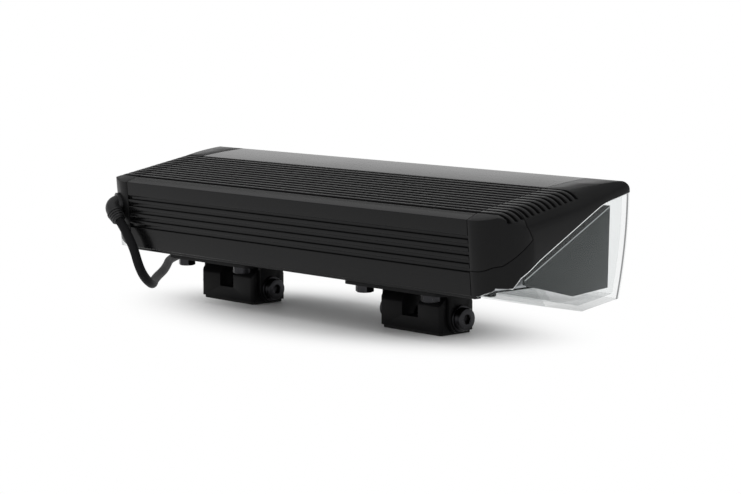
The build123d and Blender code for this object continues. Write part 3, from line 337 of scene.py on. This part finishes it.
# The room is plain white to the eye and through the cover. What the dark surfaces mirror is pale
# with a dark band above the horizon, given as (upward part of the direction, brightness).
room = Sheet(world.node_tree)
room.place = room.node("ShaderNodeTexCoord", None, None, "Generated")
room_tones = ((0.0, 1.0), (0.29, 1.0), (0.345, 0.13), (0.44, 0.13), (0.52, 0.8), (1.0, 0.6))
walls = room.node("ShaderNodeValToRGB",
                  {"stops": [(height, (tone, tone, tone, 1)) for height, tone in room_tones]},
                  {0: room.along("Z")})
open_view = (room.ray("Camera") + room.ray("Transmission")).clamped()
paint = room.mixed(open_view, walls, (1.0, 1.0, 1.0))
sky = room.node("ShaderNodeBackground", None, {"Color": paint, "Strength": 1.0})
room.node("ShaderNodeOutputWorld", None, {"Surface": sky})

# Each lamp's place, the point it faces, its width in metres and its power in watts.
for name, place, aim, size, power in (("top_lamp", (0.1, 0.1, 1.5), (0.0, 0.0, 0.03), 1.4, 9.0),
                                      ("back_lamp", (-1.3, 0.75, 0.95), (0.0, 0.0, 0.05), 0.8, 5.0),
                                      ("side_lamp", (1.4, 0.5, 0.7), (0.1, 0.0, 0.05), 0.9, 3.0)):
    light = bpy.data.lights.new(name, "AREA")
    light.shape = "DISK"
    light.size = size
    light.energy = power
    lamp_object = bpy.data.objects.new(name, light)
    lamp_object.location = place
    lamp_object.visible_glossy = False
    lamp_object.rotation_euler = (Vector(aim) - Vector(place)).to_track_quat("-Z", "Y").to_euler()
    bpy.context.scene.collection.objects.link(lamp_object)


# Heat sink: one aluminium extrusion, sawn to length, shot to a satin and anodised black. It
# has ribs on top, shadow grooves behind, a closed chamber for the driver and a bolt rail below.
class Pattern(Sheet):
    """A Geometry Nodes tree with named sizes, which turns a piece's rough start into its shape."""

    def __init__(self, name, **sizes):
        tree = bpy.data.node_groups.new(name, "GeometryNodeTree")
        super().__init__(tree)
        kinds = {int: "NodeSocketInt", float: "NodeSocketFloat", tuple: "NodeSocketVector",
                 str: "NodeSocketObject"}
        tree.interface.new_socket("Start", in_out="INPUT", socket_type="NodeSocketGeometry")
        for label, value in sizes.items():
            socket = tree.interface.new_socket(label, in_out="INPUT",
                                               socket_type=kinds[type(value)])
            if not isinstance(value, str):
                socket.default_value = value
        tree.interface.new_socket("Surface", in_out="INPUT", socket_type="NodeSocketMaterial")
        tree.interface.new_socket("Shape", in_out="OUTPUT", socket_type="NodeSocketGeometry")
        self.inlet = tree.nodes.new("NodeGroupInput")

    def size(self, label):
        return Reading(self, self.inlet.outputs[label])

    def end(self, shape):
        plain = self.node("GeometryNodeRealizeInstances", None, {0: shape})
        dressed = self.node("GeometryNodeSetMaterial", None,
                            {"Geometry": plain, "Material": self.size("Surface")})
        self.node("NodeGroupOutput", None, {0: dressed})

    def make(self, name, start, finish, **sizes):
        """Plain mesh piece that the tree makes from the start mesh at these sizes."""
        piece = new_piece(name, start, finish)
        step = piece.modifiers.new(name, "NODES")
        step.node_group = self.tree
        for item in self.tree.interface.items_tree:
            if item.in_out == "INPUT" and item.name in sizes:
                step[item.identifier] = sizes[item.name]
            if item.in_out == "INPUT" and item.name == "Surface":
                step[item.identifier] = finish.material
        return worked(piece)


def loops_mesh(name, loops):
    """Mesh of closed lines only, from lists of (run, height) in millimetres."""
    points = [(u / 1000, v / 1000, 0.0) for loop in loops for u, v in loop]
    edges = []
    first = 0
    for loop in loops:
        edges += [(first + i, first + (i + 1) % len(loop)) for i in range(len(loop))]
        first += len(loop)
    mesh = bpy.data.meshes.new(name)
    mesh.from_pydata(points, edges, [])
    return mesh


sink_sizes = {"Length": 0.254, "Corner": 0.00045, "Steps": 5}
extrusion = Pattern("pushed_through_a_die", **sink_sizes)
outline = extrusion.node("GeometryNodeMeshToCurve", None, {"Mesh": extrusion.size("Start")})
outline = extrusion.node("GeometryNodeFilletCurve", {"mode": "POLY"},
                         {"Curve": outline, "Radius": extrusion.size("Corner"),
                          "Limit Radius": True, "Count": extrusion.size("Steps")})
face = extrusion.node("GeometryNodeFillCurve", {"mode": "NGONS"}, {"Curve": outline})
push = extrusion.node("ShaderNodeCombineXYZ", None, {"Z": extrusion.size("Length")})
pushed = extrusion.node("GeometryNodeExtrudeMesh", None,
                        {"Mesh": face, "Offset": push, "Offset Scale": 1.0, "Individual": False})
back = extrusion.node("GeometryNodeFlipFaces", None, {"Mesh": face})
both = extrusion.node("GeometryNodeJoinGeometry", None, {0: pushed})
extrusion.tree.links.new(back.socket, both.socket.node.inputs[0])
closed = extrusion.node("GeometryNodeMergeByDistance", None, {"Geometry": both, "Distance": 1e-6})
centred = extrusion.node("ShaderNodeCombineXYZ", None,
                         {"X": extrusion.size("Length") * -0.5, "Y": rear_edge / 1000,
                          "Z": bottom_edge / 1000})
laid = extrusion.node("GeometryNodeTransform", None, {"Geometry": closed, "Translation": centred,
                                                      "Rotation": (pi / 2, 0.0, pi / 2)})
extrusion.end(laid)

rib_slope = 8.0 / 42.6
rib_count, first_rib, rib_step, first_rib_top = 13, 4.3, 3.55, 37.6
rear_lean, rear_height = -3.0, 34.6


def rib_top(u):
    """Height of the rib field at run u."""
    return first_rib_top + (u - first_rib) * rib_slope


def rear_run(v):
    """Run of the leaning rear face at height v."""
    return rear_lean * v / rear_height


def arc(start, middle, end, steps):
    """Points of the circle through three points, from start to end."""
    (ax, ay), (bx, by), (cx, cy) = start, middle, end
    d = 2 * (ax * (by - cy) + bx * (cy - ay) + cx * (ay - by))
    ux = ((ax * ax + ay * ay) * (by - cy) + (bx * bx + by * by) * (cy - ay)
          + (cx * cx + cy * cy) * (ay - by)) / d
    uy = ((ax * ax + ay * ay) * (cx - bx) + (bx * bx + by * by) * (ax - cx)
          + (cx * cx + cy * cy) * (bx - ax)) / d
    ahead = Vector((ax - ux, ay - uy))
    last = Vector((cx - ux, cy - uy))
    sweep = -ahead.angle_signed(last)
    return [tuple(Vector((ux, uy)) + Matrix.Rotation(sweep * i / steps, 2) @ ahead)
            for i in range(steps + 1)]


def grooves(middles, forward, outward, half, deep):
    """Outline of square grooves of this half width and depth at the middles along a face."""
    steps = ((-half, 0.0), (-half, deep), (half, deep), (half, 0.0))
    return [tuple(middle + forward * side - outward * depth)
            for middle in middles for side, depth in steps]


up_ribs = Vector((1.0, rib_slope)).normalized()
off_ribs = Vector((-up_ribs.y, up_ribs.x))
up_rear = Vector((rear_lean, rear_height)).normalized()
off_rear = Vector((-up_rear.y, up_rear.x))
shadow_count, first_shadow, shadow_step = 5, 11.7, 3.7
shadow_heights = [first_shadow + shadow_step * i for i in range(shadow_count)]
rib_runs = [first_rib + rib_step * i for i in range(rib_count)]
shadow_grooves = grooves([Vector((rear_run(v), v)) for v in shadow_heights],
                         up_rear, off_rear, half=0.9, deep=1.4)
rib_grooves = grooves([Vector((u, rib_top(u))) for u in rib_runs],
                      up_ribs, off_ribs, half=0.85, deep=3.0)
# The first groove opens on the rear bevel, and the last one runs out under the brow.
rib_grooves[0] = (first_rib - 0.78, rib_top(first_rib) - 0.32)
rib_grooves[-1] = (47.73, 45.715)
heat_outline = [(0.0, 0.0), *shadow_grooves, (rear_lean, rear_height), *rib_grooves]
heat_outline += arc((46.9, 45.6), (61.719, 47.364), (76.6, 48.5), 14)[1:]
heat_outline += arc((76.6, 48.5), (79.287, 47.387), (80.4, 44.7), 10)[1:]
heat_outline += [(63.4, 44.7), (46.9, 41.6), (32.0, 36.8), (32.0, 3.0), (40.8, 3.0), (40.8, 0.0),
                 (16.2, 0.0), (16.2, -1.6), (12.0, -1.6), (12.0, 0.4), (13.7, 0.4), (13.7, 4.6),
                 (4.7, 4.6), (4.7, 0.4), (6.4, 0.4), (6.4, -1.6), (2.2, -1.6), (2.2, 0.0)]
chamber = [(3.81, 6.8), (1.4, 30.79), (28.5, 36.145), (28.5, 3.0), (16.2, 3.0), (16.2, 6.8)]


def anodised(name, dark, light, rough, shine, pull=(0.012, 1.0, 1.0)):
    """Anodised aluminium: a dyed satin skin with faint lines the way it was drawn or cut."""
    finish = Finish(name, Specular_IOR_Level=shine)
    drawn = finish.noise(2400.0, 3.0, pull)
    blast = finish.noise(2600.0, 2.0)
    cloud = finish.noise(16.0, 2.0)
    finish.tint(cloud, dark, light)
    finish.satin = rough + (drawn - 0.5) * 0.10 + (cloud - 0.5) * 0.06
    finish.feed("Roughness", finish.satin)
    finish.relief(0.6 * drawn + 0.4 * blast, 0.0000015)
    return finish


sink_black = anodised("sink_black", (0.003, 0.003, 0.0032), (0.004, 0.004, 0.0043), 0.21, 0.15)
# The ribs are a little duller than the plain faces, and the grooves between them duller still.
ribs_rear, ribs_front, ribs_low, groove_mouth = -0.0346, 0.0094, 0.0612, 0.06849
run = sink_black.along("Y")
rise = sink_black.along("Z")
among_ribs = run.less(ribs_front) * rise.more(ribs_low)
in_groove = among_ribs * run.more(ribs_rear) * (rise - run * rib_slope).less(groove_mouth)
sink_black.feed("Roughness", sink_black.satin + among_ribs * 0.12 + in_groove * 0.5)
heat_sink = extrusion.make("heat_sink", loops_mesh("heat_sink_outline", [heat_outline, chamber]),
                           sink_black, **sink_sizes)
settle(heat_sink, "lamp", "black_anodised", "heat_sink_body")


# End plates: flat aluminium plates on rubber seals close the rear chamber, each held by four
# countersunk screws that run into the ports of the extrusion.
knurl_depth = 0.022


def turned(name, rows, sides=36, ring=False):
    """Turned shape about Z from rows of radius and height, some of them hexagonal or knurled."""
    shape = bmesh.new()
    rings = []
    for row in rows:
        radius, height = row[0] / 1000, row[1] / 1000
        kind = row[2] if len(row) > 2 else "round"
        if radius == 0:
            rings.append([shape.verts.new((0.0, 0.0, height))])
            continue
        points = []
        for i in range(sides):
            turn = 2 * pi * i / sides
            reach = radius
            if kind == "hex":
                reach = radius / cos((turn + pi / 6) % (pi / 3) - pi / 6)
            if kind == "knurl":
                reach = radius * (1.0 - knurl_depth * (i % 2))
            points.append(shape.verts.new((reach * cos(turn), reach * sin(turn), height)))
        rings.append(points)
    if ring:
        rings.append(rings[0])
    for lower, upper in zip(rings, rings[1:]):
        for i in range(sides):
            corners = [lower[i % len(lower)], lower[(i + 1) % len(lower)],
                       upper[(i + 1) % len(upper)], upper[i % len(upper)]]
            shape.faces.new(list(dict.fromkeys(corners)))
    mesh = bpy.data.meshes.new(name)
    shape.to_mesh(mesh)
    shape.free()
    return mesh


set_out = Pattern("set_out_at_places", Part="")
way = set_out.node("GeometryNodeInputNamedAttribute", {"data_type": "FLOAT_VECTOR"},
                   {"Name": "turn"})
part_shape = set_out.node("GeometryNodeObjectInfo", {"transform_space": "ORIGINAL"},
                          {"Object": set_out.size("Part")}, "Geometry")
set_out.end(set_out.node("GeometryNodeInstanceOnPoints", None,
                         {"Points": set_out.size("Start"), "Instance": part_shape,
                          "Rotation": way}))
upward, downward, ahead = (0.0, 0.0, 0.0), (pi, 0.0, 0.0), (-pi / 2, 0.0, 0.0)
to_right, to_left = (0.0, pi / 2, 0.0), (0.0, -pi / 2, 0.0)
ends = ((-1, to_left), (1, to_right))


def repeated(name, part_mesh, places, finish, body, slot_name, *nodes):
    """One piece made of the same part at each place, each with its own turn."""
    start = bpy.data.meshes.new(name + "_places")
    start.from_pydata([place for place, _ in places], [], [])
    turns = start.attributes.new("turn", "FLOAT_VECTOR", "POINT")
    turns.data.foreach_set("vector", [angle for _, turn in places for angle in turn])
    part = new_piece(name + "_part", part_mesh)
    piece = set_out.make(name, start, finish, Part=part)
    bpy.data.objects.remove(part)
    settle(piece, body, slot_name, *nodes)
    return piece


seal_black = rubber("seal_black", (0.010, 0.010, 0.010), (0.018, 0.018, 0.018), 0.62)
plate_metal = plated("plate_metal", (0.50, 0.51, 0.53), (0.62, 0.63, 0.65), 0.34, 900.0,
                     (1.0, 0.03, 1.0))
zinc = plated("zinc_plate", (0.52, 0.53, 0.55), (0.66, 0.67, 0.68), 0.26)
for side in ("left", "right"):
    rounded("end_seal_" + side, "seal_" + side, seal_black, 0.15)
    rounded("end_plate_" + side, "plate_" + side, plate_metal, 0.2)
plate_screw = turned("plate_screw", [(0, -12.0), (1.3, -12.0), (1.6, -11.6), (1.6, -1.6),
                                     (3.15, -0.05), (3.1, 0), (1.3, 0), (1.0, -0.15, "hex"),
                                     (1.0, -1.2, "hex"), (0, -1.4)])
plate_face = 130.5
ports = [(5.0, 27.19), (24.9, 32.55), (24.9, 6.6), (5.1, 10.4)]
repeated("plate_screws", plate_screw,
         [(at(side * plate_face, u, v), turn) for side, turn in ends for u, v in ports],
         zinc, "lamp", "steel", "end_plate_screws")

# End caps: glass-filled nylon mouldings that carry the ribs round the lamp's rounded ends. A
# fine seam parts the rear corner cap from the large cap. Two pan screws hold each to its plate.
cap_nylon = moulded("cap_nylon", (0.006, 0.006, 0.0063), (0.009, 0.009, 0.0093), 0.34,
                    grain=1500.0, depth=0.000004, shine=0.10)
for side in ("left", "right"):
    rounded("end_cap_" + side, "cap_" + side, cap_nylon, 0.35)
    rounded("corner_cap_" + side, "corner_" + side, cap_nylon, 0.35)
cap_screw = turned("cap_screw", [(0, -8.0), (1.2, -8.0), (1.5, -7.6), (1.5, 0), (2.7, 0),
                                 (2.8, 0.2), (2.8, 1.2), (2.4, 1.8), (1.6, 2.0), (1.2, 2.0),
                                 (1.0, 1.9, "hex"), (1.0, 0.9, "hex"), (0, 0.7)])
cap_face = 132.6
bosses = [(14.0, 12.5), (14.0, 29.5)]
repeated("cap_screws", cap_screw,
         [(at(side * cap_face, u, v), turn) for side, turn in ends for u, v in bosses],
         zinc, "lamp", "steel", "end_cap_screws")

# Cover: one clear moulding for the front, the ends and the underside, sealed to the body by
# two rubber strips. It casts no shadow, and its gloss grows where it is seen at a slant.
clear = Finish("cover_clear", Specular_IOR_Level=0.5)
ripple = clear.noise(45.0, 2.0)
clear.feed("Roughness", 0.05 + ripple * 0.03)
clear.relief(ripple, 0.00003)
open_air = clear.node("ShaderNodeBsdfTransparent", None, {"Color": (0.985, 0.99, 0.99, 1.0)})
# A dark line of painted shade runs along the front of each flat end, where the wall's own thickness
# would look dark seen edge-on.
# The cover is also made more opaque on it. The line's run follows the front outline, which is a
# square law of the height.
end_face, line_half = 0.1497, 0.0006
bow, lean, front_run = -2.6292, 0.36610, 0.028249
height = clear.along("Z")
off_line = clear.along("Y") - (height * height * bow + height * lean + front_run)
painted_wall_shade = off_line.size().less(line_half) * clear.along("X").size().more(end_face)
# Painted shade: the base colour goes near black along this line at the front of each flat end.
clear.tint(painted_wall_shade, (0.30, 0.32, 0.32), (0.03, 0.03, 0.035))
slant = clear.node("ShaderNodeLayerWeight", None, {"Blend": 0.5}, "Facing")
slant_twice = slant * slant
gloss = slant_twice * slant_twice * 0.9 + 0.03 + painted_wall_shade * 0.7
clear.cover_with((gloss * (1.0 - clear.ray("Shadow"))).clamped(), open_air, clear.shader)
lens_cover = rounded("lens_cover", "cover", clear, 0.35, steps=3)
# The upper border of each end glows with painted light: an emission, though it is no lamp, that
# stands in for the light the clear wall carries to the eye.
painted_glow_rim = moulded("cover_rim", (0.80, 0.83, 0.83), (0.88, 0.90, 0.90), 0.12, grain=500.0,
              depth=0.000003, shine=0.5, Emission_Strength=1.0)
painted_glow_rim.feed("Emission Color", painted_glow_rim.mixed(painted_glow_rim.noise(30.0, 2.0), (0.55, 0.56, 0.56), (0.70, 0.71, 0.71)))
painted_glow_slope, painted_glow_start = 0.3, 0.118
lens_cover.data.materials.append(painted_glow_rim.material)
for facet in lens_cover.data.polygons:
    leans_back = facet.normal.y < -painted_glow_slope and facet.normal.z > painted_glow_slope
    if leans_back and abs(facet.center.x) > painted_glow_start:
        facet.material_index = 1
rounded("brow_gasket", "brow_strip", seal_black, 0.2)
rounded("sill_gasket", "sill_strip", seal_black, 0.2)

# Light unit: eight light chips on a white aluminium board, bedded on a grey pad and screwed to
# the body, behind a bright bank of cups and a dark grey bezel.
pad_grey = rubber("pad_grey_soft", (0.26, 0.27, 0.29), (0.36, 0.37, 0.39), 0.7, 600.0)
board_white = moulded("board_white", (0.78, 0.79, 0.78), (0.86, 0.86, 0.85), 0.3, 900.0, 0.000006,
                      0.5)
bezel_dark = moulded("bezel_dark", (0.020, 0.023, 0.023), (0.028, 0.032, 0.032), 0.42, 1300.0,
                     0.000014)
# A thin painted highlight that climbs towards the front crosses each flat end of the bezel, and the
# end above it is painted near black as shade. The cosine turns the upright distance from it into the
# square one.
bezel_end, painted_highlight_half = 0.1452, 0.00028
painted_highlight_slope, painted_highlight_cosine, painted_highlight_run, painted_highlight_height = 0.52, 0.887, -0.0237, 0.0316
upright = bezel_dark.along("Z") - painted_highlight_height - (bezel_dark.along("Y") - painted_highlight_run) * painted_highlight_slope
above_painted_highlight = upright * painted_highlight_cosine
on_end = bezel_dark.along("X").size().more(bezel_end)
# Painted shade: the end of the bezel above the line is made near black.
bezel_dark.tint(above_painted_highlight.more(0.0) * on_end, bezel_dark.colour, (0.004, 0.004, 0.004))
# Painted highlight: a pale line along each end of the bezel.
bezel_dark.tint(above_painted_highlight.size().less(painted_highlight_half) * on_end, bezel_dark.colour, (0.38, 0.40, 0.40))
bright = plated("reflector_metal", (0.84, 0.85, 0.86), (0.90, 0.91, 0.92), 0.06, 500.0,
                depth=0.000001)
chip_white = moulded("chip_ceramic", (0.78, 0.78, 0.75), (0.85, 0.85, 0.83), 0.45, 2200.0, 0.000004,
                     0.5)
phosphor = moulded("chip_phosphor", (0.72, 0.52, 0.10), (0.82, 0.66, 0.18), 0.4, 2600.0, 0.000006,
                   0.5)
rounded("thermal_pad", "pad", pad_grey, 0.1)
rounded("led_board", "light_board", board_white, 0.15)
rounded("reflector_bank", "reflectors", bright, 0.2)
rounded("inner_bezel", "bezel", bezel_dark, 0.3)
chip_step, board_run, board_height = 34.0, 34.4, 22.0
chip_places = [(at(chip_step * (i - 3.5), board_run, board_height), ahead) for i in range(8)]


def square(name, rows):
    """Square stepped shape about Z from rows of half width and height."""
    shape = bmesh.new()
    rings = [[shape.verts.new((x * half / 1000, y * half / 1000, height / 1000))
              for x, y in ((-1, -1), (1, -1), (1, 1), (-1, 1))] for half, height in rows]
    shape.faces.new(rings[0][::-1])
    for lower, upper in zip(rings, rings[1:]):
        for i in range(4):
            shape.faces.new((lower[i], lower[(i + 1) % 4], upper[(i + 1) % 4], upper[i]))
    shape.faces.new(rings[-1])
    mesh = bpy.data.meshes.new(name)
    shape.to_mesh(mesh)
    shape.free()
    return mesh


chip_frame = square("chip_frame", [(2.5, 0), (2.5, 0.6), (2.35, 0.75), (2.05, 0.75), (2.0, 0.6),
                                   (1.0, 0.6)])
repeated("chip_frames", chip_frame, chip_places, chip_white, "lamp", "phosphor", "led_chips")
chip_light = turned("chip_light", [(0, 0.5), (2.0, 0.5), (1.95, 0.65), (1.75, 0.8), (1.2, 0.94),
                                   (0.6, 1.0), (0, 1.0)], 24)
repeated("chip_lights", chip_light, chip_places, phosphor, "lamp", "phosphor")
board_screw = turned("board_screw", [(0, -4.0), (1.2, -4.0), (1.5, -3.7), (1.5, 0), (2.5, 0),
                                     (2.6, 0.2), (2.6, 1.0), (2.2, 1.5), (1.5, 1.6), (1.1, 1.6),
                                     (0.9, 1.5, "hex"), (0.9, 0.6, "hex"), (0, 0.5)], 24)
repeated("board_screws", board_screw,
         [(at(chip_step * i, board_run, board_height), ahead) for i in range(-3, 4)],
         zinc, "lamp", "steel", "led_board_screws")

# Driver: a green board on four moulded cradles in the rear chamber, with its chips, coils,
# capacitors and a screw terminal where the two supply wires come in through a grommet.
cradle_black = moulded("cradle_nylon", (0.02, 0.02, 0.02), (0.032, 0.032, 0.032), 0.5)
mask_green = moulded("mask_green", (0.012, 0.12, 0.045), (0.02, 0.18, 0.065), 0.28, 500.0,
                     0.000008, 0.5)
sleeve = moulded("sleeve_dark", (0.035, 0.035, 0.09), (0.05, 0.05, 0.13), 0.3, 300.0, 0.000006, 0.5)
chip_resin = moulded("chip_resin", (0.022, 0.022, 0.022), (0.034, 0.034, 0.034), 0.6, 2400.0,
                     0.00001)
terminal_green = moulded("terminal_green", (0.03, 0.26, 0.10), (0.045, 0.34, 0.13), 0.42, 1200.0)
wire_red = moulded("wire_red_coat", (0.42, 0.02, 0.02), (0.54, 0.035, 0.035), 0.35, 700.0)
copper = plated("winding_copper", (0.50, 0.22, 0.08), (0.66, 0.32, 0.13), 0.3, 1400.0,
                (1.0, 1.0, 0.05), 0.00004)
rounded("driver_cradles", "cradles", cradle_black, 0.25)
rounded("driver_board", "driver", mask_green, 0.1)
rounded("driver_coils", "coils", copper, 0.8, steps=3)
rounded("driver_chips", "chips", chip_resin, 0.2)
rounded("terminal_block", "terminal", terminal_green, 0.3)
rounded("wire_grommet", "grommet", seal_black, 0.2)
rounded("supply_wires", "wires", wire_red, 0.1, turn=60.0)
rounded("entry_nut", "boot_nut", zinc, 0.25)
capacitor = turned("capacitor", [(0, 0), (3.8, 0), (4.0, 0.3), (4.0, 0.9), (3.8, 1.2), (4.0, 1.5),
                                 (4.0, 10.1), (3.7, 10.5), (3.3, 10.5), (3.2, 10.35), (0, 10.35)])
repeated("capacitors", capacitor, [(at(x, 15.0, 16.6), upward) for x in (-12.0, 0.0, 12.0)],
         sleeve, "lamp", "capacitor_sleeve", "driver_capacitors")

# Feet: a folded steel bracket bolted along the rail through two slot nuts, and a slotted
# aluminium block on a rubber pad that turns between its ears on two socket screws.
powder = Finish("powder_black", Specular_IOR_Level=0.07)
peel = powder.noise(750.0, 2.0)
dust = powder.noise(30.0, 3.0)
powder.tint(dust, (0.004, 0.004, 0.0043), (0.007, 0.007, 0.0075))
powder.feed("Roughness", 0.40 + (peel - 0.5) * 0.10 + (dust - 0.5) * 0.10)
powder.relief(peel, 0.00004)
block_black = anodised("block_black", (0.004, 0.004, 0.0043), (0.006, 0.006, 0.0065), 0.36, 0.07,
                       (1.0, 0.02, 1.0))
pad_rubber = rubber("pad_rubber", (0.009, 0.009, 0.009), (0.017, 0.017, 0.017), 0.68, 1100.0)
oxide = plated("black_oxide", (0.020, 0.020, 0.022), (0.045, 0.045, 0.048), 0.32, 1300.0)
hex_bolt = turned("hex_bolt", [(0, -8.1), (2.2, -8.1), (2.5, -7.8), (2.5, 0), (3.7, 0),
                               (4.0, 0.15, "hex"), (4.0, 3.05, "hex"), (3.85, 3.35), (3.6, 3.5),
                               (0, 3.5)])
socket_screw = turned("socket_screw", [(0, -14.2), (2.6, -14.2), (3.0, -13.8), (3.0, 0), (5.1, 0),
                                       (5.3, 0.2), (5.3, 0.4, "knurl"), (5.3, 2.5, "knurl"),
                                       (5.28, 2.75), (5.05, 3.2), (4.8, 3.3), (2.5, 3.3),
                                       (2.4, 3.2), (2.0, 3.05, "hex"), (2.0, 1.4, "hex"),
                                       (0, 1.1)], 72)
washer = turned("washer", [(3.06, 0.15), (3.2, 0), (6.1, 0), (6.3, 0.2), (6.3, 0.8), (6.1, 1.0),
                           (3.2, 1.0), (3.06, 0.85)], 48, ring=True)
bolt_out, screw_out, washer_out, pivot_run, pivot_height = 22.5, 24.2, 23.2, 28.5, -16.8
for side, x in (("left", -69.0), ("right", 69.0)):
    bracket_body, foot_body = side + "_bracket", side + "_foot"
    rounded("mount_bracket_" + side, "bracket_" + side, powder, 0.4, bracket_body)
    rounded("slot_nuts_" + side, "nuts_" + side, zinc, 0.25, bracket_body)
    repeated("bolts_" + side, hex_bolt,
             [(at(x + i * bolt_out, 9.2, -3.7), downward) for i in (-1, 1)],
             oxide, bracket_body, "black_steel", "bracket_bolts_" + side)
    rounded("foot_block_" + side, "block_" + side, block_black, 0.6, foot_body, steps=3)
    rounded("foot_pad_" + side, "sole_" + side, pad_rubber, 0.3, foot_body)
    for name, part, out in (("screws_", socket_screw, screw_out), ("washers_", washer, washer_out)):
        repeated(name + side, part,
                 [(at(x + i * out, pivot_run, pivot_height), turn) for i, turn in ends[::-1]],
                 oxide, foot_body, "black_steel", "pivot_" + name + side)
